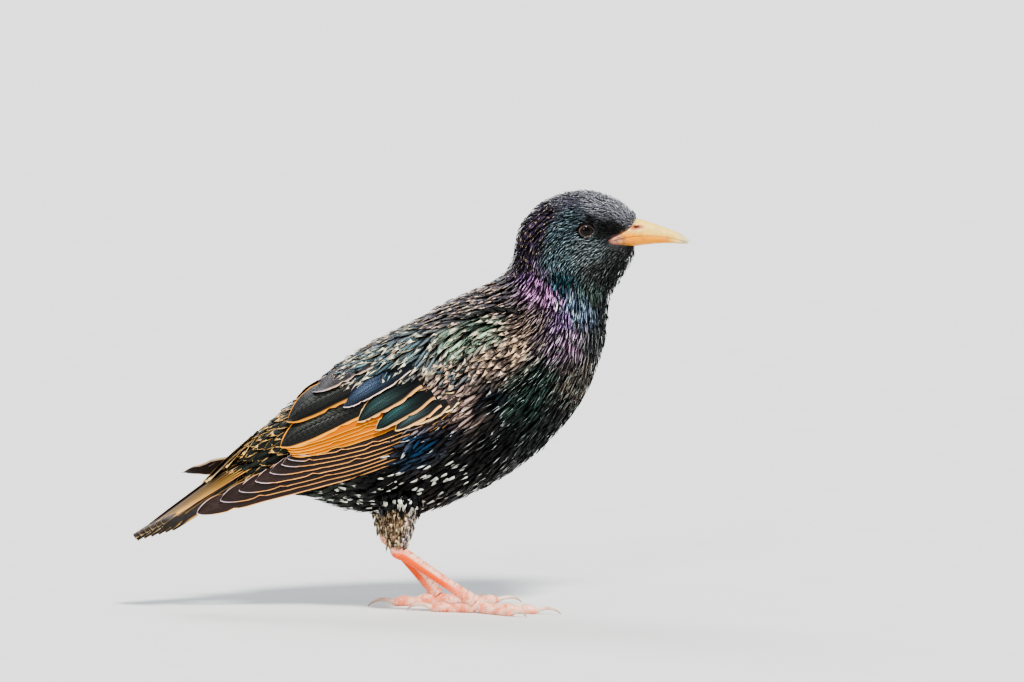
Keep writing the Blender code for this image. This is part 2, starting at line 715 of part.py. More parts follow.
def bill_ring(section, grow, sign):
    """Half a rounded section: flat at the biting edge, arched to the ridge or keel."""
    ring = []
    arch = abs(section.ridge - section.edge) + grow
    half = section.half_width + grow
    base = section.edge - sign * grow
    for j in range(BILL_SIDES + 1):
        angle = math.pi * j / BILL_SIDES
        across = math.copysign(abs(math.cos(angle)) ** BILL_SQUARENESS, math.cos(angle))
        rise = math.sin(angle) ** BILL_ARCH if 0 < j < BILL_SIDES else 0.0
        ring.append(Vector((section.x, half * across, base + sign * (arch + grow) * rise)))
    return ring


def bill_solid(name, sections, sign, grow, collection):
    rings = []
    for index, section in enumerate(sections):
        shift = -grow if index == 0 else grow if index == len(sections) - 1 else 0.0
        moved = section._replace(x=section.x + shift)
        rings.append(bill_ring(moved, grow, sign))
    return mesh_object(name, loft_rings(rings), collection)


def make_bill(collection):
    upper = bill_solid("bill_upper", UPPER_BILL, 1, 0.0, collection)
    for side in (RIGHT, LEFT):
        bm = bmesh.new()
        segments = {"u_segments": NOSTRIL_SEGMENTS, "v_segments": NOSTRIL_RINGS}
        bmesh.ops.create_uvsphere(bm, radius=1.0, **segments)
        bm.transform(Matrix.Diagonal((*NOSTRIL_SIZE, 1.0)))
        bm.transform(Matrix.Rotation(NOSTRIL_TURN, 4, "Y"))
        centre = (NOSTRIL_AT[0], side * BILL_HALF_AT_NOSTRIL, NOSTRIL_AT[1])
        bm.transform(Matrix.Translation(centre))
        cut(upper, mesh_object("nostril", bm, collection))
    lower = bill_solid("bill_lower", LOWER_BILL, -1, 0.0, collection)
    return upper, lower


def eye_place(side):
    """The eye's centre, with its own Z axis pointing out of the head."""
    centre = Loft(BODY).over(*EYE_AT, -EYE_SUNK, side)
    look = Matrix.Rotation(-side * EYE_TURN, 4, "Z") @ Matrix.Rotation(-side * math.pi / 2, 4, "X")
    return Matrix.Translation(centre) @ look


def eye_solid(name, side, radius, collection):
    bm = bmesh.new()
    bmesh.ops.create_uvsphere(bm, u_segments=EYE_SEGMENTS, v_segments=EYE_RINGS, radius=radius)
    bm.transform(eye_place(side))
    return mesh_object(name, bm, collection)


def lid_ring(side, collection):
    """A ring of bare skin round the eye."""
    rings = []
    for i in range(LID_AROUND):
        angle = 2 * math.pi * i / LID_AROUND
        ring = []
        for j in range(LID_ACROSS):
            turn = 2 * math.pi * j / LID_ACROSS
            radius = LID_RING + LID_THICK * math.cos(turn)
            height = LID_DEPTH + LID_THICK * math.sin(turn)
            ring.append(Vector((radius * math.cos(angle), radius * math.sin(angle), height)))
        rings.append(ring)
    bm = bmesh.new()
    rows = [[bm.verts.new(point) for point in ring] for ring in rings]
    for i in range(LID_AROUND):
        first, second = rows[i], rows[(i + 1) % LID_AROUND]
        for j in range(LID_ACROSS):
            k = (j + 1) % LID_ACROSS
            bm.faces.new((first[j], first[k], second[k], second[j]))
    bm.transform(eye_place(side))
    return mesh_object("lid", bm, collection)


def make_head(collection):
    head = mesh_object("head", keep_side(body_solid(), HEAD_CUT, 1, GAP / 2), collection)
    fuse(head, [lid_ring(side, collection) for side in (RIGHT, LEFT)])
    for side in (RIGHT, LEFT):
        cut(head, eye_solid("socket", side, EYE_RADIUS + EYE_GAP, collection))
    cut(head, bill_solid("upper room", UPPER_BILL, 1, GAP, collection))
    cut(head, bill_solid("lower room", LOWER_BILL, -1, GAP, collection))
    return head


# Legs


def on_side(point, side):
    return Vector((point[0], point[1] * side, point[2]))


def make_shank(leg, name, collection):
    """The feathered upper leg, from the belly to the ankle."""
    hip, ankle = on_side(leg.hip, leg.side), on_side(leg.ankle, leg.side)
    last = len(SHANK_RADII) - 1
    points = [hip.lerp(ankle, i / last) for i in range(last + 1)]
    end = (ankle - hip).normalized()
    points[-1] = ankle - end * ANKLE_REACH
    shank = tube(name, points, SHANK_RADII, collection, resolution=3)
    cut(shank, mesh_object("belly room", body_solid(GAP), collection))
    return shank


def make_tarsus(leg, name, collection):
    hip, ankle = on_side(leg.hip, leg.side), on_side(leg.ankle, leg.side)
    foot = on_side(leg.foot, leg.side)
    down = (foot - ankle).normalized()
    entering = (ankle - hip).normalized()
    start = ankle - entering * (ANKLE_REACH - GAP)
    lower = foot - down * (FOOT_STUB + GAP)
    elbow = ankle + entering * ANKLE_ROUNDING
    points = [start, elbow]
    radii = list(ANKLE_RADII)
    last = len(TARSUS_RADII) - 1
    for i, radius in enumerate(TARSUS_RADII):
        points.append(elbow.lerp(lower, (i + 1) / (last + 1)))
        radii.append(radius)
    return tube(name, points, radii, collection)


def pad_sphere(centre, radius):
    bm = bmesh.new()
    segments = {"u_segments": FOOT_PAD_SEGMENTS, "v_segments": FOOT_PAD_RINGS}
    bmesh.ops.create_uvsphere(bm, radius=radius, **segments)
    bm.transform(Matrix.Translation(centre))
    return bm


def toe_line(leg, toe):
    """The toe's middle line on the floor, as its start, direction and end."""
    foot = on_side(leg.foot, leg.side)
    angle = math.radians(leg.heading - leg.side * toe.bearing)
    direction = Vector((math.cos(angle), math.sin(angle), 0.0))
    return foot, direction


def toe_solid(leg, toe, collection):
    """A toe with a soft pad under each joint, lying on the floor."""
    foot, direction = toe_line(leg, toe)
    points, radii = [], []
    for i in range(TOE_POINTS):
        t = i / (TOE_POINTS - 1)
        pads = PAD_DEPTH * math.cos(2 * math.pi * toe.joints * t)
        radius = toe.radius * (TOE_ROOT_SHARE - TOE_TAPER * t - pads)
        level = max(radius - FLAT_DEPTH, (foot.z - TOE_ROOT_LOWER) * (1 - t) ** 3)
        point = foot + direction * (toe.length * t)
        points.append((point.x, point.y, level))
        radii.append(radius)
    return tube("toe", points, radii, collection, resolution=TOE_SIDES_RESOLUTION)


def make_foot(leg, name, collection):
    foot = on_side(leg.foot, leg.side)
    pad = mesh_object(name, pad_sphere(foot, FOOT_PAD_RADIUS), collection)
    up = (on_side(leg.ankle, leg.side) - foot).normalized()
    stub = [foot + up * (FOOT_STUB * t) for t in (0.0, 0.5, 1.0)]
    pieces = [tube("stub", stub, [TARSUS_RADII[-1]] * len(stub), collection)]
    fuse(pad, pieces + [toe_solid(leg, toe, collection) for toe in TOES])
    bm = bmesh.new()
    bmesh.ops.create_cube(bm, size=1.0)
    bm.transform(Matrix.Diagonal((*FLOOR_SIZE, 1.0)))
    bm.transform(Matrix.Translation((foot.x, foot.y, -FLOOR_SIZE[2] / 2)))
    return cut(pad, mesh_object("floor", bm, collection))


def make_claw(leg, toe, name, collection):
    """A curved claw that leaves the toe's end face to face and points down."""
    foot, direction = toe_line(leg, toe)
    root_radius = toe.radius * CLAW_ROOT_SHARE
    start = foot + direction * (toe.length + GAP + CLAW_CLEAR)
    start.z = root_radius + CLAW_CLEAR
    points, radii = [], []
    for i in range(CLAW_POINTS):
        t = i / (CLAW_POINTS - 1)
        point = start + direction * (toe.claw * math.sin(t * CLAW_CURL) / math.sin(CLAW_CURL))
        rise = CLAW_RISE * math.sin(math.pi * t**0.8)
        radius = root_radius * (1 - t) ** 0.8 + CLAW_POINT_RADIUS
        point.z = max(start.z * (1 - t**2) + rise + CLAW_DROP * t, radius + CLAW_CLEAR)
        points.append(point)
        radii.append(radius)
    return tube(name, points, radii, collection, resolution=1)


# The whole bird


def build():
    clear_scene()
    materials = make_materials()
    bird = new_collection("starling")

    finish(make_head(bird), materials["plumage"])
    for mandible in make_bill(bird):
        finish(mandible, materials["bill"])
    neck = keep_side(body_solid(), HEAD_CUT, -1, GAP / 2)
    neck = keep_side(neck, NECK_CUT, 1, GAP / 2)
    finish(mesh_object("neck", neck, bird), materials["plumage"])
    torso = keep_side(body_solid(), NECK_CUT, -1, GAP / 2)
    torso = keep_side(torso, TAIL_CUT, 1, GAP / 2)
    finish(mesh_object("torso", torso, bird), materials["plumage"])
    finish(make_tail("tail", bird), materials["wing_plumage"])

    for leg in LEGS:
        word = "right" if leg.side == RIGHT else "left"
        finish(eye_solid("eye_" + word, leg.side, EYE_RADIUS, bird), materials["eye"])
        finish(make_wing("wing_" + word, leg.side, bird), materials["wing_plumage"])
        finish(make_shank(leg, "shank_" + word, bird), materials["shank_plumage"])
        finish(make_tarsus(leg, "tarsus_" + word, bird), materials["leg_skin"])
        finish(make_foot(leg, "foot_" + word, bird), materials["leg_skin"])
        for toe in TOES:
            name = f"claw_{word}_{toe.name}"
            finish(make_claw(leg, toe, name, bird), materials["claw"])


build()
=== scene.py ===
"""Looks of the starling: skin, coat of feathers, wings, tail, bill, eyes, legs and studio.

Sizes are in millimetres in the part's own frame, +X towards the bill and +Z up, and
turn into metres where a mesh is made.
"""

import itertools
import math
from collections import namedtuple

import bpy
import numpy as np
from mathutils import Matrix, Vector


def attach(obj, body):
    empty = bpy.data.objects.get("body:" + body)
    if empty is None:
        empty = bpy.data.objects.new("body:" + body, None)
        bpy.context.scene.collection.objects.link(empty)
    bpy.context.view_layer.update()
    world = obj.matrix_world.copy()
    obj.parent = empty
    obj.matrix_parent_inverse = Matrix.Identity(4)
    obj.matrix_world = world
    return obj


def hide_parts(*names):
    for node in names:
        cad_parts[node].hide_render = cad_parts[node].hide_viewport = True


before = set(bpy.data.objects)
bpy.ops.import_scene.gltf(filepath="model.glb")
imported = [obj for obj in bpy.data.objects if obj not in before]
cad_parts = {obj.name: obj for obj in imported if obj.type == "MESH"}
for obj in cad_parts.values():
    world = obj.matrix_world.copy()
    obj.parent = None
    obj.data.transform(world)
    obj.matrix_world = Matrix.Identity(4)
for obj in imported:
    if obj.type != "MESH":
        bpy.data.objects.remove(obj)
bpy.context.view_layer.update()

MM = 0.001
RIGHT, LEFT = -1, 1
SEED = 11
rng = np.random.default_rng(SEED)
VIEW_DROP = math.radians(4.5)  # how steeply the camera looks down on the bird

# The body's sections, as the solids have them: x and z of the top, x and z of the
# bottom, half width, and how far down the widest place is
BODY = (
    (74.9, 128.6, 73.9, 120.0, 2.6, 0.50),
    (72.3, 132.0, 72.9, 116.8, 4.3, 0.50),
    (68.3, 135.0, 71.3, 113.2, 6.4, 0.54),
    (63.0, 137.3, 69.0, 109.9, 8.1, 0.56),
    (57.1, 138.4, 66.7, 106.3, 9.7, 0.56),
    (50.5, 137.4, 65.3, 103.3, 11.1, 0.54),
    (44.2, 135.1, 64.7, 100.3, 12.1, 0.52),
    (39.3, 131.0, 64.2, 97.0, 12.7, 0.50),
    (36.0, 126.4, 63.9, 93.1, 13.2, 0.50),
    (34.5, 121.1, 63.4, 88.4, 13.8, 0.50),
    (33.7, 116.2, 62.0, 83.5, 14.8, 0.50),
    (31.7, 111.9, 60.1, 78.2, 16.4, 0.50),
    (27.7, 108.6, 57.1, 71.6, 18.6, 0.50),
    (20.5, 105.3, 51.5, 63.0, 20.8, 0.50),
    (9.6, 100.3, 42.9, 53.8, 22.2, 0.50),
    (-2.6, 92.4, 31.4, 44.9, 22.4, 0.50),
    (-16.2, 83.8, 17.2, 37.3, 21.4, 0.50),
    (-28.4, 75.6, 2.0, 31.9, 19.0, 0.48),
    (-38.3, 69.2, -12.9, 32.0, 15.4, 0.46),
    (-46.5, 62.4, -25.1, 34.3, 11.9, 0.44),
    (-53.1, 55.8, -35.0, 37.6, 8.8, 0.44),
    (-58.1, 50.6, -44.9, 38.9, 6.6, 0.46),
    (-62.4, 46.6, -53.8, 39.6, 4.4, 0.50),
)
WING_SHELL = BODY[11:19] + (
    (-47.0, 64.0, -29.0, 29.5, 12.8, 0.46),
    (-57.0, 60.0, -41.5, 27.5, 10.6, 0.46),
    (-68.0, 55.0, -54.5, 26.5, 9.4, 0.46),
    (-78.0, 51.0, -68.0, 25.8, 8.6, 0.46),
    (-86.0, 48.0, -79.0, 25.0, 8.0, 0.46),
)

# Ridges that lift the coat off the body: x, z, half width and lift along each line
ARM_RIDGE = (
    (37.5, 84.5, 6.0, 1.4),
    (32.0, 82.5, 9.0, 3.0),
    (22.0, 77.5, 12.0, 4.2),
    (10.0, 70.0, 13.0, 4.4),
    (0.0, 64.0, 13.0, 3.9),
    (-9.0, 60.0, 11.5, 2.8),
)
SHOULDER_RIDGE = (
    (34.0, 87.5, 5.0, 1.4),
    (26.0, 89.5, 7.0, 3.4),
    (14.0, 86.5, 9.0, 4.9),
    (2.0, 82.5, 9.5, 5.3),
    (-8.0, 79.0, 8.5, 5.3),
    (-20.0, 74.0, 6.5, 4.4),
)
FLANK_RIDGE = (
    (36.0, 71.0, 8.0, 1.2),
    (20.0, 65.0, 8.0, 3.4),
    (6.0, 58.0, 8.0, 4.4),
    (-4.0, 52.5, 8.0, 4.3),
    (-14.0, 46.0, 7.0, 3.6),
)


def linear(colour):
    """An sRGB colour, as a painter names it, in the linear values that shaders take."""
    return tuple(((c + 0.055) / 1.055) ** 2.4 if c > 0.04045 else c / 12.92 for c in colour)


def smooth(value, low, high):
    """0 at low, 1 at high and a soft step between."""
    t = np.clip((value - low) / (high - low), 0.0, 1.0)
    return t * t * (3 - 2 * t)


def spline(values, u):
    """Points on the smooth curve through rows of values, u steps along it."""
    last = len(values) - 1
    u = np.clip(u, 0.0, last)
    i = np.minimum(u.astype(int), last - 1)
    t = (u - i).reshape(u.shape + (1,) * (values.ndim - 1))
    before, here = values[np.maximum(i - 1, 0)], values[i]
    after, beyond = values[i + 1], values[np.minimum(i + 2, last)]
    bend = 2 * before - 5 * here + 4 * after - beyond
    turn = 3 * here - before - 3 * after + beyond
    return 0.5 * (2 * here + (after - before) * t + bend * t**2 + turn * t**3)


# Surfaces

SLOPE_STEP = 0.02
HALVINGS = 26  # how often the search for a point halves the body


class Surface:
    """A smooth surface through sections, worked out for whole arrays of points."""

    def __init__(self, sections):
        self.values = np.array(sections, dtype=float)
        self.last = len(sections) - 1

    def section(self, u):
        return np.moveaxis(spline(self.values, u), -1, 0)

    def points(self, u, angle):
        """Angle 0 is the top, pi / 2 the left side and pi the bottom."""
        top_x, top_z, low_x, low_z, half_width, widest = self.section(u)
        rise = np.cos(angle)
        down = np.where(rise > 0, widest * (1 - rise), widest - (1 - widest) * rise)
        x = top_x + (low_x - top_x) * down
        z = top_z + (low_z - top_z) * down
        return np.stack((x, half_width * np.sin(angle), z), axis=-1)

    def slopes(self, u, angle):
        """How the point moves with u and with the angle, and the outward normal."""
        step = SLOPE_STEP
        low, high = np.maximum(u - step, 0.0), np.minimum(u + step, self.last)
        along = (self.points(high, angle) - self.points(low, angle)) / (high - low)[..., None]
        around = (self.points(u, angle + step) - self.points(u, angle - step)) / (2 * step)
        normal = np.cross(around, along)
        normal /= np.linalg.norm(normal, axis=-1, keepdims=True) + 1e-9
        return along, around, normal

    def locate(self, x, z):
        """The (u, angle) on the left side that show at points of the side view."""

        def side_of(u):
            top_x, top_z, low_x, low_z, _, _ = self.section(u)
            return (low_x - top_x) * (z - top_z) - (low_z - top_z) * (x - top_x)

        low, high = np.zeros_like(x), np.full_like(x, float(self.last))
        first = side_of(low)
        for _ in range(HALVINGS):
            middle = (low + high) / 2
            same = side_of(middle) * first > 0
            low, high = np.where(same, middle, low), np.where(same, high, middle)
        top_x, top_z, low_x, low_z, _, widest = self.section(low)
        line_x, line_z = low_x - top_x, low_z - top_z
        down = ((x - top_x) * line_x + (z - top_z) * line_z) / (line_x**2 + line_z**2)
        down = np.clip(down, 0.02, 0.98)
        upper = np.arccos(np.clip(1 - down / widest, -1, 1))
        lower = np.arccos(np.clip((widest - down) / (1 - widest), -1, 1))
        return low, np.where(down < widest, upper, lower)

    def over(self, x, z, lift, side):
        """Points above the surface, on one side of the bird."""
        u, angle = self.locate(x, z)
        point = self.points(u, angle) + self.slopes(u, angle)[2] * lift[..., None]
        point[..., 1] *= side
        return point


BODY_SURFACE = Surface(BODY)
WING_SURFACE = Surface(WING_SHELL)


def ridge_height(x, z, ridge):
    """The lift that a ridge gives at points of the side view, fading past its width."""
    best_gap = np.full(x.shape, np.inf)
    lift = np.zeros(x.shape)
    for (x0, z0, half0, lift0), (x1, z1, half1, lift1) in zip(ridge, ridge[1:]):
        dx, dz = x1 - x0, z1 - z0
        t = np.clip(((x - x0) * dx + (z - z0) * dz) / (dx * dx + dz * dz), 0, 1)
        gap = np.hypot(x - x0 - dx * t, z - z0 - dz * t) / (half0 + (half1 - half0) * t)
        closer = gap < best_gap
        height = (lift0 + (lift1 - lift0) * t) * np.exp(-(gap**4))
        lift = np.where(closer, height, lift)
        best_gap = np.where(closer, gap, best_gap)
    return lift


def coat_lift(x, z):
    """How far the coat lies off the body over the folded wing and the flank."""
    ridges = (ARM_RIDGE, SHOULDER_RIDGE, FLANK_RIDGE)
    return np.maximum.reduce([ridge_height(x, z, ridge) for ridge in ridges])


EYE_AT = (57.6, 126.4)

# Markings. Each zone is a place in side view with the look of its feathers, and the
# coat blends from one to the next.

# A feather's length and width and its distance from the next, in mm, and how much of a
# narrow pointed hackle it is, from 0 to 1
Size = namedtuple("Size", "length width spacing hackle")
FACE = Size(1.9, 0.56, 0.56, 0.15)
CROWN = Size(2.6, 0.6, 0.62, 0.3)
CHEEK = Size(3.2, 0.6, 0.68, 0.6)
NAPE = Size(4.6, 0.95, 1.0, 0.7)
THROAT = Size(6.0, 0.85, 1.0, 0.9)
NECK = Size(6.4, 0.95, 1.05, 0.95)
BREAST = Size(7.4, 1.1, 1.25, 0.95)
SIDE = Size(8.5, 1.6, 1.55, 0.75)
BELLY = Size(8.5, 2.7, 1.95, 0.2)
MANTLE = Size(5.6, 1.6, 1.4, 0.3)
BACK = Size(7.6, 2.2, 1.8, 0.3)
SHOULDER = Size(10.0, 1.7, 1.5, 0.75)
COVERT = Size(5.2, 1.5, 1.3, 0.35)
FLUFF = Size(6.5, 1.3, 1.3, 0.8)
FLANK = Size(11.5, 1.9, 1.7, 0.7)
RUMP = Size(8.5, 3.5, 2.45, 0.15)

# A feather's two colours, where it is dull and where it is glossy, and how metallic it is. The glossy
# colour is the feather's own iridescent hue, painted brighter as a painted sheen.
Tint = namedtuple("Tint", "base gloss shine")
VELVET = Tint((0.02, 0.018, 0.02), (0.10, 0.09, 0.09), 0.1)
# Silver and lead: the head's own dark gloss painted pale grey, as painted glare on the lit top of the head
GLARE_SILVER = Tint((0.44, 0.44, 0.47), (0.72, 0.72, 0.76), 0.3)
GLARE_LEAD = Tint((0.24, 0.23, 0.27), (0.52, 0.51, 0.58), 0.35)
SLATE = Tint((0.09, 0.115, 0.13), (0.43, 0.52, 0.55), 0.45)
PEARL = Tint((0.20, 0.22, 0.225), (0.60, 0.655, 0.665), 0.4)
ASH = Tint((0.07, 0.07, 0.07), (0.42, 0.43, 0.43), 0.4)
SOOT = Tint((0.025, 0.025, 0.03), (0.17, 0.18, 0.19), 0.35)
PLUM = Tint((0.03, 0.02, 0.035), (0.24, 0.17, 0.27), 0.5)
TEAL = Tint((0.015, 0.035, 0.045), (0.16, 0.36, 0.40), 0.6)
TAUPE = Tint((0.09, 0.075, 0.085), (0.46, 0.40, 0.43), 0.4)
VIOLET = Tint((0.07, 0.04, 0.09), (0.56, 0.42, 0.62), 0.55)
MAGENTA = Tint((0.15, 0.08, 0.15), (0.82, 0.58, 0.80), 0.55)
LAVENDER = Tint((0.15, 0.20, 0.28), (0.74, 0.84, 0.99), 0.6)
LILAC = Tint((0.12, 0.09, 0.125), (0.66, 0.54, 0.65), 0.5)
MOSS = Tint((0.07, 0.09, 0.08), (0.42, 0.50, 0.46), 0.5)
BRONZE = Tint((0.08, 0.073, 0.068), (0.49, 0.45, 0.41), 0.4)
BARK = Tint((0.36, 0.29, 0.23), (0.55, 0.46, 0.37), 0.0)
BOTTLE = Tint((0.012, 0.02, 0.018), (0.20, 0.30, 0.265), 0.5)
NAVY = Tint((0.008, 0.013, 0.022), (0.05, 0.12, 0.18), 0.6)
COBALT = Tint((0.008, 0.014, 0.024), (0.06, 0.22, 0.34), 0.6)
JET = Tint((0.006, 0.006, 0.007), (0.03, 0.04, 0.042), 0.4)
UMBER = Tint((0.13, 0.115, 0.12), (0.42, 0.39, 0.42), 0.4)
EMERALD = Tint((0.05, 0.065, 0.055), (0.40, 0.50, 0.42), 0.5)
STEEL = Tint((0.04, 0.05, 0.058), (0.29, 0.38, 0.41), 0.5)
CREAM = Tint((0.11, 0.09, 0.085), (0.46, 0.39, 0.35), 0.25)
ROSE = Tint((0.30, 0.23, 0.215), (0.82, 0.69, 0.63), 0.1)
OLIVE = Tint((0.04, 0.042, 0.038), (0.20, 0.22, 0.19), 0.4)

# The mark at a feather's tip: its colour, the share of feathers that have it, its
# width as a share of the vane's, its depth and the fringe beside it, in mm
Mark = namedtuple("Mark", "tip share width depth fringe")
NO_MARK = Mark((0.3, 0.3, 0.3), 0.0, 0.5, 0.2, 0.0)
FAINT = Mark((0.70, 0.72, 0.70), 0.3, 0.7, 0.45, 0.0)
GOLD_TIPS = Mark((0.88, 0.80, 0.66), 0.4, 0.9, 0.45, 0.0)
LINES = Mark((0.80, 0.86, 0.84), 0.4, 0.5, 1.5, 0.0)
SPARKS = Mark((0.90, 0.92, 0.94), 0.26, 0.4, 3.8, 0.0)
SPOTS = Mark((0.94, 0.94, 0.89), 0.4, 0.95, 1.9, 0.0)
BUFF_TIPS = Mark((0.95, 0.82, 0.72), 0.8, 0.7, 0.95, 0.0)
PALE_EDGES = Mark((0.93, 0.91, 0.80), 0.65, 0.6, 0.9, 0.15)
CREAM_TIPS = Mark((0.95, 0.80, 0.66), 0.65, 0.75, 1.0, 0.12)
CHEVRONS = Mark((0.90, 0.72, 0.46), 0.8, 1.3, 0.55, 0.45)

# The lie is how far, in degrees, a zone's feathers turn from the line of the body
Zone = namedtuple("Zone", "x z reach size lie tint mark")
ZONES = [Zone(*row) for row in (
    # head
    (66, 126, 3.1, FACE, 0, VELVET, NO_MARK),
    (62.3, 126.0, 2.4, FACE, 0, VELVET, NO_MARK),
    (62, 123.5, 1.8, FACE, 0, VELVET, NO_MARK),
    (58.5, 128.8, 1.8, FACE, 0, VELVET, NO_MARK),
    # forehead and crown in painted glare (silver and lead)
    (68.5, 132.5, 3.6, FACE, 0, GLARE_SILVER, NO_MARK),
    (61, 136.0, 4.5, CROWN, 0, GLARE_SILVER, FAINT),
    (50, 136.0, 4.5, CROWN, 0, GLARE_LEAD, FAINT),
    (43, 131.5, 4.0, NAPE, 0, PLUM, GOLD_TIPS),
    (52, 130.0, 3.2, CHEEK, 0, SLATE, NO_MARK),
    (48, 123.0, 4.4, CHEEK, 0, SLATE, FAINT),
    (58.5, 118.5, 4.4, CHEEK, 0, PEARL, FAINT),
    (66.5, 117.8, 3.2, CHEEK, 0, ASH, NO_MARK),
    (72.5, 117.0, 3.0, FACE, 0, SOOT, NO_MARK),
    (60, 111.0, 4.2, CHEEK, 0, ASH, FAINT),
    # neck
    (39, 124.5, 4.6, NAPE, 0, PLUM, GOLD_TIPS),
    (36.5, 115.0, 4.6, NAPE, 0, PLUM, GOLD_TIPS),
    (67.5, 108.0, 5.0, THROAT, 0, SOOT, FAINT),
    (65.5, 98.0, 5.0, THROAT, 0, SOOT, FAINT),
    (47.0, 114.0, 4.0, CHEEK, 0, SLATE, FAINT),
    (49.0, 106.0, 3.6, NECK, 0, TEAL, NO_MARK),
    (58, 103.5, 4.2, NECK, 0, MOSS, FAINT),
    (37.5, 108.0, 2.6, NECK, 0, VIOLET, NO_MARK),
    (40.5, 104.5, 2.8, NECK, 0, MAGENTA, NO_MARK),
    (45.5, 101.0, 2.8, NECK, 0, MAGENTA, NO_MARK),
    (54.0, 97.0, 4.0, NECK, 0, LAVENDER, NO_MARK),
    (49.0, 94.0, 3.0, NECK, 0, VIOLET, NO_MARK),
    (41.5, 95.0, 3.8, NECK, 0, TAUPE, BUFF_TIPS),
    # breast
    (51.5, 86.5, 4.4, BREAST, 0, LILAC, FAINT),
    (61.5, 86.0, 5.2, BREAST, 0, ASH, FAINT),
    (55, 73.0, 6.5, BREAST, 0, BRONZE, LINES),
    (47, 61.0, 6.0, BREAST, 0, SOOT, FAINT),
    (41, 74.0, 5.2, BREAST, 0, BOTTLE, LINES),
    (36, 66.0, 5.5, SIDE, 0, BOTTLE, LINES),
    # mantle, shoulder feathers and small wing coverts
    (36, 92.0, 4.0, MANTLE, 0, CREAM, BUFF_TIPS),
    (27, 103.0, 6.0, MANTLE, 0, UMBER, BUFF_TIPS),
    (8, 95.5, 7.0, BACK, 0, UMBER, BUFF_TIPS),
    (23, 91.5, 4.6, SHOULDER, 16, EMERALD, PALE_EDGES),
    (12, 87.5, 5.0, SHOULDER, 30, EMERALD, PALE_EDGES),
    (0, 86.0, 5.5, SHOULDER, 24, STEEL, PALE_EDGES),
    (-12, 80.5, 6.0, SHOULDER, 10, STEEL, PALE_EDGES),
    (33, 85.0, 4.2, COVERT, 0, CREAM, CREAM_TIPS),
    (24, 81.5, 4.6, COVERT, 5, CREAM, CREAM_TIPS),
    (12, 76.5, 4.5, COVERT, 12, STEEL, CREAM_TIPS),
    (11, 67.5, 6.4, FLUFF, 0, ROSE, NO_MARK),
    # flank, belly and vent
    (24, 68.0, 4.4, FLANK, 0, NAVY, SPARKS),
    (10, 60.0, 5.5, FLANK, 0, NAVY, SPARKS),
    (1, 53.5, 3.8, FLANK, 0, COBALT, SPARKS),
    (26, 57.0, 6.0, SIDE, 0, JET, SPARKS),
    (12, 44.0, 7.0, BELLY, 0, JET, SPOTS),
    (-10, 38.0, 7.0, BELLY, 0, JET, SPOTS),
    (-6, 24.0, 4.0, BELLY, 0, BARK, NO_MARK),
    (-30, 37.0, 6.0, RUMP, 0, OLIVE, SPOTS),
    (-46, 39.0, 6.0, RUMP, 0, OLIVE, CHEVRONS),
    # lower back and rump
    (-14, 88.0, 5.5, BACK, 0, UMBER, BUFF_TIPS),
    (-31, 76.0, 6.5, BACK, 0, STEEL, BUFF_TIPS),
    (-50, 59.0, 7.0, RUMP, 0, OLIVE, CHEVRONS),
)]
ZONE_PLACES = np.array([(zone.x, zone.z) for zone in ZONES], dtype=float)
ZONE_REACH = np.array([zone.reach for zone in ZONES], dtype=float)
ZONE_SIZES = np.array([(*zone.size, zone.lie) for zone in ZONES])
ZONE_MARKS = np.array([zone.mark[1:] for zone in ZONES])
ZONE_SHINE = np.array([zone.tint.shine for zone in ZONES])
ZONE_BASE = np.array([linear(zone.tint.base) for zone in ZONES])
ZONE_GLOSS = np.array([linear(zone.tint.gloss) for zone in ZONES])
ZONE_TIP = np.array([linear(zone.mark.tip) for zone in ZONES])

ZONE_STRAY = 0.9  # how far, in mm, a feather may look as if it grew elsewhere
STRAY_FROM_EYE, STRAY_LEAST = 12.0, 0.15  # it strays less than that near the eye
ZONE_CORE, ZONE_POWER = 0.1, 4  # how evenly and how sharply the zones blend


def zone_shares(place):
    """How much of each zone's look there is where points show in the side view."""
    x, z = place[:, 0], place[:, 2] - math.tan(VIEW_DROP) * np.abs(place[:, 1])
    stray_x, stray_z = rng.normal(0, ZONE_STRAY, (2, len(x)))
    from_eye = np.hypot(x - EYE_AT[0], z - EYE_AT[1])
    away = np.clip(from_eye / STRAY_FROM_EYE - 0.4, STRAY_LEAST, 1)
    x, z = x + stray_x * away, z + stray_z * away
    gap = np.hypot(x[:, None] - ZONE_PLACES[:, 0], z[:, None] - ZONE_PLACES[:, 1])
    closeness = 1.0 / (ZONE_CORE + (gap / ZONE_REACH) ** ZONE_POWER)
    return closeness / closeness.sum(axis=1, keepdims=True)


# Meshes from arrays


def place_object(name, data):
    made = bpy.data.objects.new(name, data)
    bpy.context.scene.collection.objects.link(made)
    return made


def mesh_piece(name, points, faces, material, replaced=()):
    """A piece of triangles that rides on the bird, with its points in mm."""
    mesh = bpy.data.meshes.new(name)
    mesh.vertices.add(len(points))
    mesh.vertices.foreach_set("co", (points * MM).astype(np.float32).ravel())
    mesh.loops.add(faces.size)
    mesh.loops.foreach_set("vertex_index", faces.astype(np.int32).ravel())
    mesh.polygons.add(len(faces))
    mesh.polygons.foreach_set("loop_start", np.arange(0, faces.size, 3, dtype=np.int32))
    mesh.update(calc_edges=True)
    mesh.validate()
    mesh.materials.append(material)
    mesh.shade_smooth()
    piece = place_object(name, mesh)
    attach(piece, "root")
    if replaced:
        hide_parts(*replaced)
    return piece


def set_attributes(mesh, **values):
    """Per-point values for the shaders: three columns are a vector, four a colour."""
    kinds = {1: ("FLOAT", "value"), 3: ("FLOAT_VECTOR", "vector"), 4: ("FLOAT_COLOR", "color")}
    for name, value in values.items():
        columns = 1 if value.ndim == 1 else value.shape[1]
        kind, field = kinds[columns]
        attribute = mesh.attributes.new(name, kind, "POINT")
        attribute.data.foreach_set(field, value.astype(np.float32).ravel())


def with_alpha(colours):
    return np.concatenate((colours, np.ones((len(colours), 1))), axis=1)


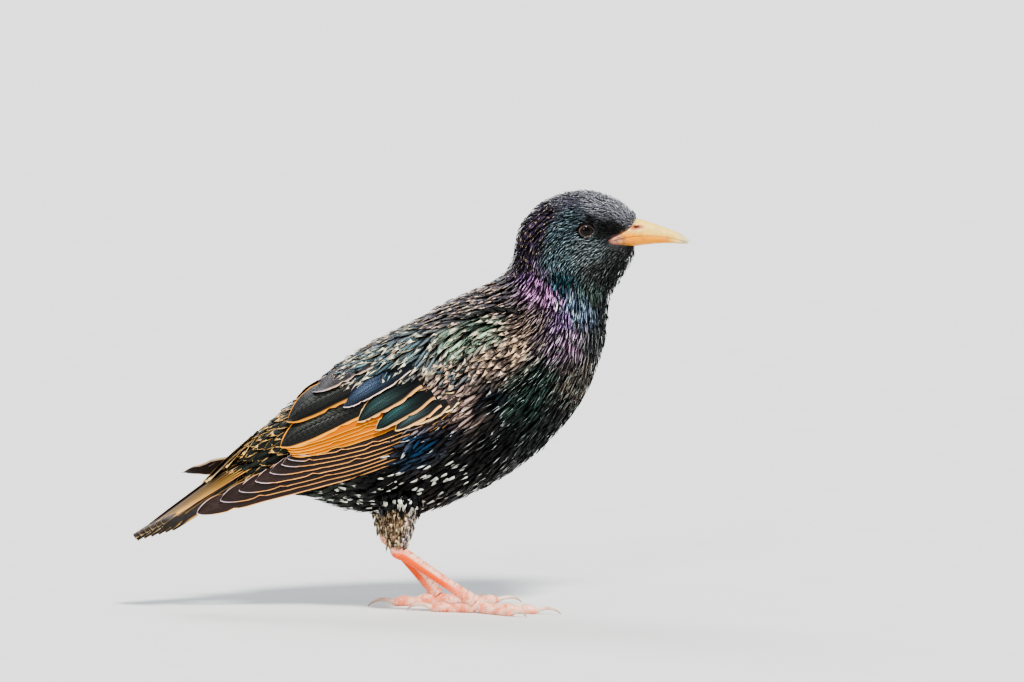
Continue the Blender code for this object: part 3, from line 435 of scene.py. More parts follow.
def set_bake_map(mesh, coordinates):
    """The map for baking, from one place on it for each point."""
    layer = mesh.uv_layers.new(name="OFBake")
    corner = np.zeros(len(mesh.loops), dtype=np.int32)
    mesh.loops.foreach_get("vertex_index", corner)
    layer.data.foreach_set("uv", coordinates[corner].astype(np.float32).ravel())


def ring_faces(rings, sides):
    """Quads between rings of points."""
    i, j = np.divmod(np.arange((rings - 1) * sides), sides)
    a, b = i * sides + j, i * sides + (j + 1) % sides
    return np.stack((a, b, b + sides, a + sides), axis=1)


def halved(quads):
    """Two triangles for each quad."""
    return quads[:, (0, 1, 2, 0, 2, 3)].reshape(-1, 3)


def fan(first, sides):
    """Triangles across one ring of points."""
    j = first + np.arange(1, sides - 1)
    return np.stack((np.full_like(j, first), j, j + 1), axis=1)


def closed_tube(quads, sides):
    """Triangles for the quads between rings, with a cap on each end."""
    first, last = quads.min(), quads.max() + 1 - sides
    return np.concatenate((halved(quads), fan(first, sides)[:, ::-1], fan(last, sides)))


def vane_faces(rows, columns):
    """Triangles of one closed vane: a crowned top, a flat underside and two ends."""
    quads = ring_faces(rows, columns)
    under = quads[columns - 1 :: columns]
    under[:] = np.roll(under, -1, axis=1)
    return closed_tube(quads, columns)


def tile_faces(faces, count, size):
    """The same faces for every one of many feathers of so many points each."""
    return (faces[None] + (np.arange(count) * size)[:, None, None]).reshape(-1, 3)


# The coat

Plan = namedtuple("Plan", "rows columns")
FINE, FULL = Plan(4, 5), Plan(6, 7)
ROOT_DEPTH, TIP_HEIGHT = 1.3, 0.35  # of a feather, below and above the body's surface
SHOWN_AT = 0.75  # the share of a feather's length at which most of it shows
# How many places are tried, and the quantile of their chances that counts as certain
ROOT_TRIES, CROWDED = 420000, 0.995

# Places where no coat feather grows, in side view
WING_SHOWN = (
    (1.0, 51.5), (-11.0, 46.5), (-36.0, 39.0), (-80.0, 28.0), (-80.0, 34.0), (-58.0, 43.0),
    (-43.0, 48.5), (-37.0, 55.0), (-35.5, 61.5), (-30.0, 69.5), (-22.0, 74.5), (-10.0, 78.0),
    (2.0, 80.0), (7.0, 77.5), (4.5, 71.0), (1.5, 65.5), (0.5, 58.0),
)
BILL_SHOWN = (
    (63.8, 122.3), (66.5, 124.0), (73.4, 127.0), (76.0, 129.8),
    (80.0, 120.4), (74.0, 120.3), (68.0, 120.1), (64.6, 121.3),
)
# The bare round place at the eye, how much of the way to it a feather may reach and how
# short it may get
EYE_BARE_AT, EYE_BARE = (57.6, 126.15), 2.4
SHORT_OF_EYE, SHORTEST = 0.95, 0.5


def dot(a, b):
    """The dot products of rows of vectors."""
    return (a * b).sum(axis=-1)


def inside(x, z, polygon):
    """Which points of the side view lie inside a polygon."""
    found = np.zeros(x.shape, dtype=bool)
    for (x0, z0), (x1, z1) in zip(polygon, polygon[1:] + polygon[:1]):
        crosses = (z0 > z) != (z1 > z)
        found ^= crosses & (x < (x1 - x0) * (z - z0) / (z1 - z0 + 1e-12) + x0)
    return found


def well_apart(place, spacing):
    """Which points keep their spacing from all those chosen before them."""
    cells = np.floor(place / float(spacing.max())).astype(int).tolist()
    near = tuple(itertools.product((-1, 0, 1), repeat=3))
    grid, chosen = {}, []
    for index, (cell, point, gap) in enumerate(zip(cells, place.tolist(), (spacing**2).tolist())):
        (ci, cj, ck), (px, py, pz) = cell, point
        others = (o for i, j, k in near for o in grid.get((ci + i, cj + j, ck + k), ()))
        if all((px - x) ** 2 + (py - y) ** 2 + (pz - z) ** 2 >= gap for x, y, z in others):
            grid.setdefault(tuple(cell), []).append(point)
            chosen.append(index)
    return chosen


def coat_roots():
    """Where the coat's feathers grow, as (u, angle), spaced as each zone asks."""
    u = rng.uniform(0.02, BODY_SURFACE.last - 0.05, ROOT_TRIES)
    angle = rng.uniform(-math.pi, math.pi, ROOT_TRIES)
    place = BODY_SURFACE.points(u, angle)
    along, around, _ = BODY_SURFACE.slopes(u, angle)
    area = np.linalg.norm(np.cross(along, around), axis=1)
    x, z = place[:, 0], place[:, 2]
    spacing = zone_shares(place) @ ZONE_SIZES[:, 2]
    chance = area / spacing**2
    keep = rng.uniform(0, np.quantile(chance, CROWDED), ROOT_TRIES) < chance
    keep &= ~inside(x, z, WING_SHOWN) & ~inside(x, z, BILL_SHOWN)
    keep &= np.hypot(x - EYE_BARE_AT[0], z - EYE_BARE_AT[1]) > EYE_BARE
    chosen = well_apart(place[keep], spacing[keep])
    return u[keep][chosen], angle[keep][chosen]


def stop_at_eye(place, ahead, length):
    """Shorter lengths for the feathers that would lie over the eye."""
    to_eye = np.array(EYE_BARE_AT) - place[:, (0, 2)]
    forward = dot(to_eye, ahead[:, (0, 2)])
    beside = dot(to_eye, to_eye) - forward**2
    meets = (forward > 0) & (beside < EYE_BARE**2)
    reach = forward - np.sqrt(np.clip(EYE_BARE**2 - beside, 0, None))
    return np.where(meets, np.clip(np.minimum(length, reach * SHORT_OF_EYE), SHORTEST, None), length)


def lie_of_coat(along, around):
    """Unit directions on the body, along the coat's lie and across it."""
    flow = along / np.linalg.norm(along, axis=1, keepdims=True)
    side = around - flow * dot(around, flow)[:, None]
    return flow, side / (np.linalg.norm(side, axis=1, keepdims=True) + 1e-9)


def rounded(t, swell, taper):
    """The width along a feather that swells from its root and narrows at its tip."""
    return 0.6 + 0.4 * np.sin(math.pi * np.minimum(t * swell, 0.5)) - taper * t**3


def outline(t, point):
    """Widths along feathers, rounded where point is 0 and tapered where it is 1."""
    pointed = np.sin(math.pi * (0.12 + 0.85 * t**0.8)) ** 0.8
    return pointed * point + rounded(t, 0.75, 0.2) * (1 - point)


# The arc and the raggedness of a tip as shares of the length: the least, and what a
# rounded or a pointed feather adds to it
TIP_ARC, ROUND_ARC = 0.10, 0.22
RAGGED, POINTED_RAGGED = 0.05, 0.25
BEND = 0.05
FEATHER_CROWN = 0.16  # how far its middle stands up, as a share of its width
RISE_POWER = 0.8  # under 1, a feather rises from its root before it runs level


def feather_points(roots, length, width, heights, point, plan):
    """Points of many small feathers that lie along the body from their roots."""
    u, angle, turn = roots
    surface = BODY_SURFACE

    def each(values):
        return values[:, None, None]

    along, around, _ = surface.slopes(u, angle)
    flow, side = lie_of_coat(along, around)
    ahead = flow * np.cos(turn)[:, None] + side * np.sin(turn)[:, None]
    across = side * np.cos(turn)[:, None] - flow * np.sin(turn)[:, None]
    length = stop_at_eye(surface.points(u, angle), ahead, length)

    t = np.linspace(0.0, 1.0, plan.rows)[None, :, None]
    s = np.linspace(-1.0, 1.0, plan.columns)[None, None]
    widths = outline(t, each(point))
    shorter = (TIP_ARC + ROUND_ARC * (1 - each(point))) * s**2
    ragged = (RAGGED + POINTED_RAGGED * each(point)) * rng.uniform(0, 1, (len(u), 1, plan.columns))
    forward = each(length) * t * (1 - shorter * t - ragged * t**3)
    bend = each(rng.normal(0, BEND, len(u))) * each(length) * t**2
    sideways = each(width) / 2 * widths * s + bend

    uu, aa, ua = dot(along, along), dot(around, around), dot(along, around)
    whole = uu * aa - ua**2 + 1e-9
    moved_u, moved_a = 0, 0
    for direction, distance in ((ahead, forward), (across, sideways)):
        du, da = dot(direction, along), dot(direction, around)
        moved_u = moved_u + each((aa * du - ua * da) / whole) * distance
        moved_a = moved_a + each((uu * da - ua * du) / whole) * distance
    all_u = np.clip(each(u) + moved_u, 0.0, surface.last)
    all_a = each(angle) + moved_a

    base = surface.points(all_u, all_a)
    normal = surface.slopes(all_u, all_a)[2]
    low, high = heights
    height = each(low) + each(high - low) * t**RISE_POWER
    height = height + FEATHER_CROWN * each(width) * (1 - s**2) * widths
    height = height + coat_lift(base[..., 0], base[..., 2])
    return (base + normal * height[..., None]).reshape(-1, 3), widths[..., 0], length


TIP_ROUND = 0.35  # how far a tip's marking curves back at its sides, in half widths
FRINGE_FROM, FRINGE_FULL = 0.35, 0.65


def mark_feathers(mesh, plan, sizes, marks, tints, widths):
    """The markings of many small feathers, as values that their shader reads."""
    count, size = len(widths), plan.rows * plan.columns
    length, width, hackle, shine = sizes
    spot, depth, fringe = marks
    t = np.tile(np.repeat(np.linspace(0, 1, plan.rows), plan.columns), count)
    s = np.tile(np.linspace(-1, 1, plan.columns), plan.rows * count)
    half = (width[:, None] / 2 * widths).repeat(plan.columns, axis=1).ravel()
    edge = half * (1 - np.abs(s))

    def each(values):
        return np.repeat(values, size, axis=0)

    to_tip = each(length) * (1 - t) + TIP_ROUND * half * np.abs(s)
    fringes = each(fringe) * smooth(t, FRINGE_FROM, FRINGE_FULL)
    seed = each(rng.uniform(0, 1, count))
    base, gloss, tip = (with_alpha(each(tint)) for tint in tints)
    set_attributes(
        mesh,
        vane=np.stack((t, s, seed), axis=1),
        edges=np.stack((edge, edge, to_tip), axis=1),
        fringes=np.stack((fringes, fringes, each(depth)), axis=1),
        shape=np.stack((each(spot), each(hackle), np.ones_like(t)), axis=1),
        base_tint=base,
        gloss_tint=gloss,
        tip_tint=tip,
        edge_tint=tip,
        shine=each(shine),
    )
    return t, s


PATCH = 0.003  # a tuft's size on the bake map


def bake_patches(mesh, root, t, s, size):
    """A small patch of the bake map for each feather, at its root's place."""
    spread = np.stack((t - 0.5, s / 2), axis=1) * PATCH
    set_bake_map(mesh, np.clip(np.repeat(root, size, axis=0) + spread, 0, 1))


def feather_piece(name, roots, sizes, marks, tints, heights, plan):
    """One piece of small feathers with their markings and bake map."""
    u, angle, _ = roots
    length, width, hackle, shine = sizes
    point = np.clip(0.25 + hackle, 0.0, 1.0)
    points, widths, length = feather_points(roots, length, width, heights, point, plan)
    size = plan.rows * plan.columns
    piece = mesh_piece(name, points, tile_faces(vane_faces(*plan), len(u), size), COAT)
    sizes = (length, width, hackle, shine)
    t, s = mark_feathers(piece.data, plan, sizes, marks, tints, widths)
    root = np.stack((0.01 + 0.98 * u / BODY_SURFACE.last, 0.5 + 0.49 * angle / math.pi), axis=1)
    bake_patches(piece.data, root, t, s, size)


# How much the coat's feathers differ from one another
SIZE_RANGE, RUFFLE_RANGE = (0.82, 1.2), (0.3, 1.6)
TURN_SPREAD, BASE_SPREAD = 0.12, 0.25
GLOSS_SPREAD, HACKLE_SPREAD = 0.2, 0.4  # hackles differ more
TIP_SHADES, TIP_DEPTHS = (0.75, 1.1), (0.6, 1.4)
LYING, LOOSE_RISE = 0.97, 0.5  # the share that lies smooth, and how far the others rise
FULL_DEPTH_LENGTH = 6.0  # shorter feathers are rooted less deep


def build_coat(name, u, angle, plan):
    """A stretch of the coat, whose feathers look as their zones ask."""
    count = len(u)
    place = BODY_SURFACE.points(u, angle)
    length, width, _, hackle, lie = (zone_shares(place) @ ZONE_SIZES).T
    length = length * rng.uniform(*SIZE_RANGE, count)
    width = width * rng.uniform(*SIZE_RANGE, count)
    flow = lie_of_coat(*BODY_SURFACE.slopes(u, angle)[:2])[0]
    shares = zone_shares(place + flow * (SHOWN_AT * length)[:, None])
    share, spot, depth, fringe = (shares @ ZONE_MARKS).T
    turn = np.radians(lie) * np.sin(angle) + rng.normal(0.0, TURN_SPREAD, count)
    ruffled = TIP_HEIGHT * rng.uniform(*RUFFLE_RANGE, count)
    ruffled = ruffled + LOOSE_RISE * (rng.uniform(0, 1, count) > LYING)
    sunk = -ROOT_DEPTH * np.clip(length / FULL_DEPTH_LENGTH, 0.3, 1.0)

    spread = GLOSS_SPREAD + HACKLE_SPREAD * hackle[:, None]
    bright = np.exp(rng.normal(-0.05, 1, (count, 1)) * spread)
    dark = np.exp(rng.normal(0, BASE_SPREAD, (count, 1)))
    base = np.clip(shares @ ZONE_BASE * dark, 0, 1)
    gloss = np.clip(shares @ ZONE_GLOSS * bright, 0, 0.97)
    tip = np.clip(shares @ ZONE_TIP * rng.uniform(*TIP_SHADES, (count, 1)), 0, 1)
    marked = rng.uniform(0, 1, count) < share
    marks = (spot, depth * rng.uniform(*TIP_DEPTHS, count) * marked, fringe * marked)
    sizes = (length, width, hackle, shares @ ZONE_SHINE)
    feather_piece(name, (u, angle, turn), sizes, marks, (base, gloss, tip), (sunk, ruffled), plan)


# The crease above the shoulder feathers, drawn in black as painted shade, in side view from front to back
CREASE = ((35.6, 99.1), (32.2, 99.8), (28.6, 99.9), (25.0, 99.3), (21.8, 98.2), (19.0, 96.8))
CREASE_OVERLAP = 1.5
CREASE_LOOK = (1.7, 0.6, 0.2)  # width, hackle and shine
CREASE_HEIGHTS = (0.5, 1.4)


def make_crease_shade():
    """A row of narrow black feathers on each side, laid end over end as painted shade in the crease."""
    u, angle = BODY_SURFACE.locate(*np.array(CREASE).T)
    roots, turns, steps = [], [], []
    for side in (RIGHT, LEFT):
        step = np.diff(BODY_SURFACE.points(u, angle * side), axis=0)
        flow, across = lie_of_coat(*BODY_SURFACE.slopes(u[:-1], angle[:-1] * side)[:2])
        turns.append(np.arctan2(dot(step, across), dot(step, flow)))
        roots.append(angle[:-1] * side)
        steps.append(np.linalg.norm(step, axis=1))
    length = np.concatenate(steps) * CREASE_OVERLAP
    roots = (np.tile(u[:-1], 2), np.concatenate(roots), np.concatenate(turns))
    sizes = (length, *np.outer(CREASE_LOOK, np.ones(len(length))))
    unmarked = np.zeros(len(length))
    # black stands for the shade in the crease: painted shade
    black = np.tile(linear(JET.base), (len(length), 1))
    heights = np.outer(CREASE_HEIGHTS, np.ones(len(length)))
    marks = (unmarked + 0.5, unmarked, unmarked)
    feather_piece("coat_crease_shade", roots, sizes, marks, (black, black * 2, black), heights, FULL)


# Shaders


class Shader:
    """Short names for the nodes of one material."""

    def __init__(self, name):
        self.material = bpy.data.materials.new(name)
        self.material.use_nodes = True
        self.tree = self.material.node_tree
        self.surface = self.tree.nodes["Principled BSDF"]

    def feed(self, target, value):
        if isinstance(value, bpy.types.NodeSocket):
            self.tree.links.new(value, target)
        else:
            target.default_value = value

    def node(self, kind, values=(), **settings):
        """A node of this kind. Its values are numbers or sockets, by place or by name."""
        made = self.tree.nodes.new(kind)
        for key, value in settings.items():
            setattr(made, key, value)
        named = values.items() if isinstance(values, dict) else enumerate(values)
        for key, value in named:
            self.feed(made.inputs[key], value)
        return made

    def attribute(self, name, output="Fac"):
        return self.node("ShaderNodeAttribute", attribute_name=name).outputs[output]

    def tint(self, name):
        return self.attribute(name + "_tint", "Color")

    def split(self, vector):
        return self.node("ShaderNodeSeparateXYZ", (vector,)).outputs

    def three(self, name):
        return self.split(self.attribute(name, "Vector"))

    def join(self, *values):
        return self.node("ShaderNodeCombineXYZ", values).outputs[0]

    def math(self, operation, *values, clamp=False):
        return self.node("ShaderNodeMath", values, operation=operation, use_clamp=clamp).outputs[0]

    def times(self, a, b, plus=None):
        """The product, with something added where plus is given."""
        if plus is None:
            return self.math("MULTIPLY", a, b)
        return self.math("MULTIPLY_ADD", a, b, plus)

    def larger(self, a, b):
        return self.math("MAXIMUM", a, b)

    def ramp(self, value, low, high):
        """0 below low, 1 above high and smooth between. The limits may be sockets."""
        values = {"Value": value, "From Min": low, "From Max": high}
        made = self.node("ShaderNodeMapRange", values, interpolation_type="SMOOTHSTEP")
        return made.outputs["Result"]

    def mix(self, factor, a, b):
        values = {"Factor": factor, "A": a, "B": b}
        return self.node("ShaderNodeMix", values, data_type="RGBA").outputs["Result"]

    def place(self):
        return self.node("ShaderNodeTexCoord").outputs["Object"]

    def noise(self, scale, detail=2.0, roughness=0.5, vector=None):
        """Noise over the object, or over a vector of the shader's own."""
        vector = self.place() if vector is None else vector
        values = {"Vector": vector, "Scale": scale, "Detail": detail, "Roughness": roughness}
        return self.node("ShaderNodeTexNoise", values).outputs[0]

    def bump(self, height, strength, distance):
        values = {"Strength": strength, "Distance": distance, "Height": height}
        self.set(Normal=self.node("ShaderNodeBump", values).outputs["Normal"])

    def set(self, **values):
        """Numbers, colours or other nodes' outputs for the surface's own sockets."""
        for key, value in values.items():
            self.feed(self.surface.inputs[key.replace("_", " ")], value)


def rgba(*colour):
    """A colour for a shader's socket."""
    return (*linear(colour), 1.0)


# Near-black, mixed into the feathers as painted shade
PAINTED_SHADE = (0.003, 0.003, 0.004, 1.0)
STRAND, STRAND_SEEDS = 1.3, 91.0  # how short the streaks are, and how unlike on each vane
BARB_SLANT, BARB_WANDER, BARB_DEPTH = -0.45, 9.0, 0.16


def feather_material(name, barbs, streaks):
    """Feather colour from its markings, with hair-fine streaks and barbs, painted shade at its root and at
    a hackle's sides, and a painted sheen along a hackle's shaft.
    """
    shader = Shader(name)
    times, ramp = shader.times, shader.ramp
    t, s, seed = shader.three("vane")
    d_low, d_up, d_tip = shader.three("edges")
    f_low, f_up, f_tip = shader.three("fringes")
    spot, hackle, sheen = shader.three("shape")
    off_shaft = shader.math("ABSOLUTE", s)
    strand = shader.join(times(t, STRAND), times(s, streaks), times(seed, STRAND_SEEDS))
    streak = shader.noise(1.0, 3.0, 0.65, vector=strand)
    wave = times(streak, BARB_WANDER, times(times(off_shaft, BARB_SLANT, t), barbs))
    fine = times(shader.math("SINE", wave), BARB_DEPTH, streak)
    wobble = times(streak, 0.9, 0.55)

    def band(distance, width):
        wide = times(width, wobble)
        edge = ramp(distance, times(wide, 1.2, 0.001), times(wide, 0.45))
        return times(edge, ramp(width, 0.01, 0.05))

    side_edge = shader.larger(band(d_low, f_low), band(d_up, f_up))
    share = shader.math("DIVIDE", off_shaft, spot)
    fade = shader.math("MULTIPLY_ADD", times(share, share), -1.0, 1.0, clamp=True)
    tip = band(d_tip, times(f_tip, fade))

    # Painted sheen: the gloss colour along a hackle's shaft and in streaks, where light would catch the
    # barbs
    lit = times(hackle, times(off_shaft, -1.3, 0.55), fine)
    glossy = times(ramp(lit, 0.40, 0.68), sheen)
    body = shader.mix(glossy, shader.tint("base"), shader.tint("gloss"))
    # Painted shade: darker towards each feather's root, where the next feathers lie over it, and at a
    # hackle's sides
    root_painted_shade = times(ramp(t, 0.0, 0.5), -0.7, 0.7)
    side_painted_shade = times(ramp(off_shaft, 0.5, 1.0), times(hackle, 0.6))
    body = shader.mix(shader.larger(root_painted_shade, side_painted_shade), body, PAINTED_SHADE)
    with_edge = shader.mix(side_edge, body, shader.tint("edge"))
    colour = shader.mix(tip, with_edge, shader.tint("tip"))
    plain = shader.larger(side_edge, tip)
    metal = times(shader.attribute("shine"), shader.math("SUBTRACT", 1.0, plain))
    rough = times(plain, 0.25, times(streak, 0.2, 0.26))
    shader.set(Base_Color=colour, Metallic=metal, Roughness=rough, Specular_IOR_Level=0.22)
    shader.bump(fine, 0.55, 0.00012)
    return shader.material


def skin_material():
    """The skin under the coat, in the coat's own colours, darkened as painted shade from the coat above
    it.
    """
    shader = Shader("skin under the coat")
    grain = shader.noise(900.0, 3.0)
    colour = shader.mix(shader.ramp(grain, 0.3, 0.7), shader.tint("base"), shader.tint("gloss"))
    # the mix towards near-black is painted shade under the coat
    shader.set(Base_Color=shader.mix(0.55, colour, (0.004, 0.004, 0.005, 1.0)), Roughness=0.7)
    shader.bump(grain, 0.4, 0.0003)
    return shader.material


COAT = feather_material("coat feathers", barbs=70.0, streaks=5.0)
VANES = feather_material("flight feathers", barbs=150.0, streaks=9.0)
SKIN = skin_material()


# The coat's pieces from the bill back: name, the u where each ends and its feathers' plan
REGIONS = (
    ("face", 3.6, FINE),
    ("crown", 5.4, FINE),
    ("cheek", 7.2, FINE),
    ("nape", 9.0, FINE),
    ("throat", 10.6, FINE),
    ("neck", 11.9, FINE),
    ("collar", 13.0, FINE),
    ("breast", 14.2, FULL),
    ("shoulders", 15.4, FULL),
    ("back", 17.0, FULL),
    ("rump", 23.0, FULL),
)


def make_coat():
    """The whole coat, parted along the body so that no piece is too heavy."""
    u, angle = coat_roots()
    low = 0.0
    for name, high, plan in REGIONS:
        held = (u >= low) & (u < high)
        build_coat("coat_" + name, u[held], angle[held], plan)
        low = high


# Skin

SKIN_LEAST, SKIN_DEPTH = 0.35, 1.3  # its depth at the face's front, and more behind it
SKIN_VOXEL = 0.55
SKIN_STEPS, SKIN_SIDES = 8, 64
SHANK_SKIN_RINGS, SHANK_SKIN_SIDES = 16, 24
SHANK_SKIN = ((0, 0.35, 0.7, 1.0), (6.0, 5.6, 4.0, 2.0))  # radii along the shank


def capped_faces(rings, sides):
    """Triangles of a closed tube of so many rings."""
    return closed_tube(ring_faces(rings, sides), sides)


def circle(sides):
    """The angles of points spread evenly round a ring."""
    return np.linspace(0, 2 * math.pi, sides, endpoint=False)


def closed_rings(name, points, rings, sides):
    """A scratch object closed by a cap at each end."""
    last = (rings - 1) * sides
    faces = ring_faces(rings, sides).tolist()
    faces += [list(range(sides))[::-1], list(range(last, last + sides))]
    mesh = bpy.data.meshes.new(name)
    mesh.from_pydata((points * MM).tolist(), [], faces)
    return place_object(name, mesh)


def body_rings():
    """Rings of points round the body, under the coat."""
    rings = SKIN_STEPS * BODY_SURFACE.last + 1
    u = np.repeat(np.linspace(0, BODY_SURFACE.last, rings), SKIN_SIDES)
    angle = np.tile(circle(SKIN_SIDES), rings)
    place = BODY_SURFACE.points(u, angle)
    lift = coat_lift(place[:, 0], place[:, 2]) * smooth(np.sin(angle) ** 2, 0.02, 0.25)
    depth = SKIN_DEPTH * smooth(u, 0.0, 2.0) + SKIN_LEAST
    return place + BODY_SURFACE.slopes(u, angle)[2] * (lift - depth)[:, None], rings, SKIN_SIDES


def swept(points, radii, sides):
    """Rings of points round a line."""
    points = np.array(points, dtype=float)
    forward = np.gradient(points, axis=0)
    forward /= np.linalg.norm(forward, axis=1, keepdims=True)
    left = np.cross(forward, (0.0, 1.0, 0.05))
    left /= np.linalg.norm(left, axis=1, keepdims=True)
    up = np.cross(left, forward)
    angle = circle(sides)[None, :, None]
    ring = left[:, None] * np.cos(angle) + up[:, None] * np.sin(angle)
    radii = np.asarray(radii, dtype=float)
    if radii.ndim == 1:
        radii = radii[:, None]
    return (points[:, None] + ring * radii[..., None]).reshape(-1, 3)


def curve_through(values, count):
    """Smooth points along a few given ones."""
    return spline(np.array(values, dtype=float), np.linspace(0, len(values) - 1, count))


def on_side(point, side):
    """A point of the left side, on the side that is asked for."""
    return np.array((point[0], point[1] * side, point[2]), dtype=float)


def shank_rings(leg):
    """Rings of points round a shank, under its feathers."""
    rings, sides = SHANK_SKIN_RINGS, SHANK_SKIN_SIDES
    line = np.linspace(on_side(leg.hip, leg.side), on_side(leg.ankle, leg.side), rings)
    return swept(line, np.interp(np.linspace(0, 1, rings), *SHANK_SKIN), sides), rings, sides


def make_skin():
    """One seamless skin for the head, neck, body and shanks, inside the coat."""
    parts = [closed_rings("skin", *body_rings())]
    parts += [closed_rings("shank skin", *shank_rings(leg)) for leg in LEGS]
    skin = parts[0]
    bpy.context.view_layer.objects.active = skin
    with bpy.context.temp_override(
        active_object=skin, selected_editable_objects=parts, selected_objects=parts
    ):
        bpy.ops.object.join()
    remesh = skin.modifiers.new("one skin", "REMESH")
    remesh.mode = "VOXEL"
    remesh.voxel_size = SKIN_VOXEL * MM
    graph = bpy.context.evaluated_depsgraph_get()
    mesh = bpy.data.meshes.new_from_object(skin.evaluated_get(graph))
    skin.modifiers.clear()
    skin.data = mesh
    mesh.materials.clear()
    mesh.materials.append(SKIN)
    mesh.shade_smooth()
    place = np.zeros(len(mesh.vertices) * 3, dtype=np.float32)
    mesh.vertices.foreach_get("co", place)
    shares = zone_shares(place.reshape(-1, 3) / MM)
    base, gloss = with_alpha(shares @ ZONE_BASE), with_alpha(shares @ ZONE_GLOSS)
    set_attributes(mesh, base_tint=base, gloss_tint=gloss)
    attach(skin, "root")
    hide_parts("head", "neck", "torso", "shank_right", "shank_left")


# Wing and tail feathers

LONG_ROWS = 26
LONG_ACROSS = np.array((-1.0, -0.84, -0.6, -0.32, -0.09, 0.0, 0.09, 0.32, 0.6, 0.84, 1.0))
LONG_COLUMNS = len(LONG_ACROSS)
LONG_SIZE = LONG_ROWS * LONG_COLUMNS
VANE_CROWN, SHAFT_HEIGHT, SHAFT_WIDTH = 0.2, 0.1, 0.06
LEAN = 0.35  # how far a tip lies below its feather's middle, in half widths
Vane = namedtuple("Vane", "root tip half lift tilt bow look")
# A long feather's colours, the glossy one laid on as a painted sheen, its fringes below,
# above and at the tip in mm, and how far it tapers
Look = namedtuple("Look", "base gloss shine tip edge low up end taper")
ORANGE, FAWN, BUFF = (0.97, 0.64, 0.22), (0.94, 0.70, 0.44), (0.96, 0.80, 0.58)
LILAC_RIM = (0.80, 0.72, 0.75)
PRIMARY = Look(
    (0.14, 0.10, 0.088), (0.40, 0.31, 0.29), 0.2, LILAC_RIM, (0.90, 0.64, 0.38), 0.27, 0.14, 0.24, 0.7
)
FAR_EDGED = PRIMARY._replace(edge=(0.92, 0.82, 0.68), up=0.8, taper=1.2)
ORANGE_WEB = Look(
    (0.80, 0.42, 0.02), (1.0, 0.61, 0.04), 0.0, ORANGE, (1.0, 0.72, 0.26), 0.22, 0.0, 0.4, 0.6
)
TERTIAL_TOP = Look(
    (0.12, 0.10, 0.10), (0.42, 0.38, 0.39), 0.25, LILAC_RIM, (0.86, 0.72, 0.62), 0.5, 0.3, 0.35, 0.6
)
TERTIAL = Look((0.075, 0.066, 0.066), (0.42, 0.43, 0.41), 0.3, ORANGE, ORANGE, 0.8, 0.22, 0.5, 0.6)
TEAL_COVERT = Look((0.085, 0.078, 0.075), (0.30, 0.48, 0.48), 0.4, BUFF, FAWN, 0.8, 0.2, 0.45, 0.7)
TAIL_DARK = Look(
    (0.16, 0.13, 0.13), (0.52, 0.46, 0.46), 0.2,
    (0.62, 0.53, 0.38), (0.88, 0.74, 0.56), 0.6, 0.45, 0.1, 1.2,
)
TAIL_EDGED = Look(
    (0.15, 0.12, 0.11), (0.44, 0.37, 0.32), 0.2,
    (0.56, 0.48, 0.32), (0.97, 0.72, 0.40), 1.3, 0.3, 0.12, 0.8,
)
TAIL_COVERT = Look(
    (0.04, 0.042, 0.038), (0.22, 0.23, 0.20), 0.3,
    (0.93, 0.78, 0.52), (0.90, 0.72, 0.46), 0.45, 0.45, 0.6, 0.9,
)
TAIL_MIDDLE = TAIL_EDGED._replace(low=0.75)
TAIL_LOOKS = (TAIL_DARK, TAIL_DARK, TAIL_MIDDLE, TAIL_MIDDLE, TAIL_EDGED, TAIL_EDGED)

# Where the feathers of the wing lie in side view. The left hand is held a little higher.
PRIMARY_ROOTS = ((2.0, 63.0), (2.0, 54.0))
PRIMARY_TIPS = (
    (-38.0, 53.0), (-39.8, 51.2), (-42.0, 49.4), (-46.0, 46.8),
    (-51.0, 43.8), (-56.6, 40.6), (-62.8, 37.4), (-70.6, 33.2),
)
PRIMARY_LIFT, PRIMARY_STEP = 1.5, 0.22
LEFT_HAND_PIVOT = (3.0, 62.0)
LEFT_HAND_TURN, LEFT_HAND_LEAST, LEFT_HAND_LONGER = math.radians(8.5), 0.3, 0.03
SECONDARIES, SECONDARY_STEP = 5, 0.16
SECONDARY_ROOTS = ((4.0, 66.0), (4.0, 71.5))
SECONDARY_TIPS = ((-38.4, 52.2), (-40.6, 54.6))
TERTIALS = (
    Vane((-2.0, 73.5), (-42.0, 54.4), 4.0, 4.0, 1.2, 0.0, TERTIAL),
    Vane((-1.0, 80.5), (-39.4, 61.4), 4.2, 4.1, 1.8, 0.3, TERTIAL),
    Vane((0.0, 87.0), (-30.6, 70.2), 4.0, 3.7, 3.0, 0.4, TERTIAL_TOP),
)
COVERT_SLOPE = math.radians(30)
HAND_COVERTS, HAND_COVERT_LENGTH = 6, 18
HAND_COVERT_LIFT, HAND_COVERT_DROP = 3.7, 1.2
HAND_COVERT_TIPS = ((-1.0, 63.0), (-2.0, 55.0))
GREATER_LIFT, GREATER_STEP = 5.1, 0.14
Greater = namedtuple("Greater", "tip length look")
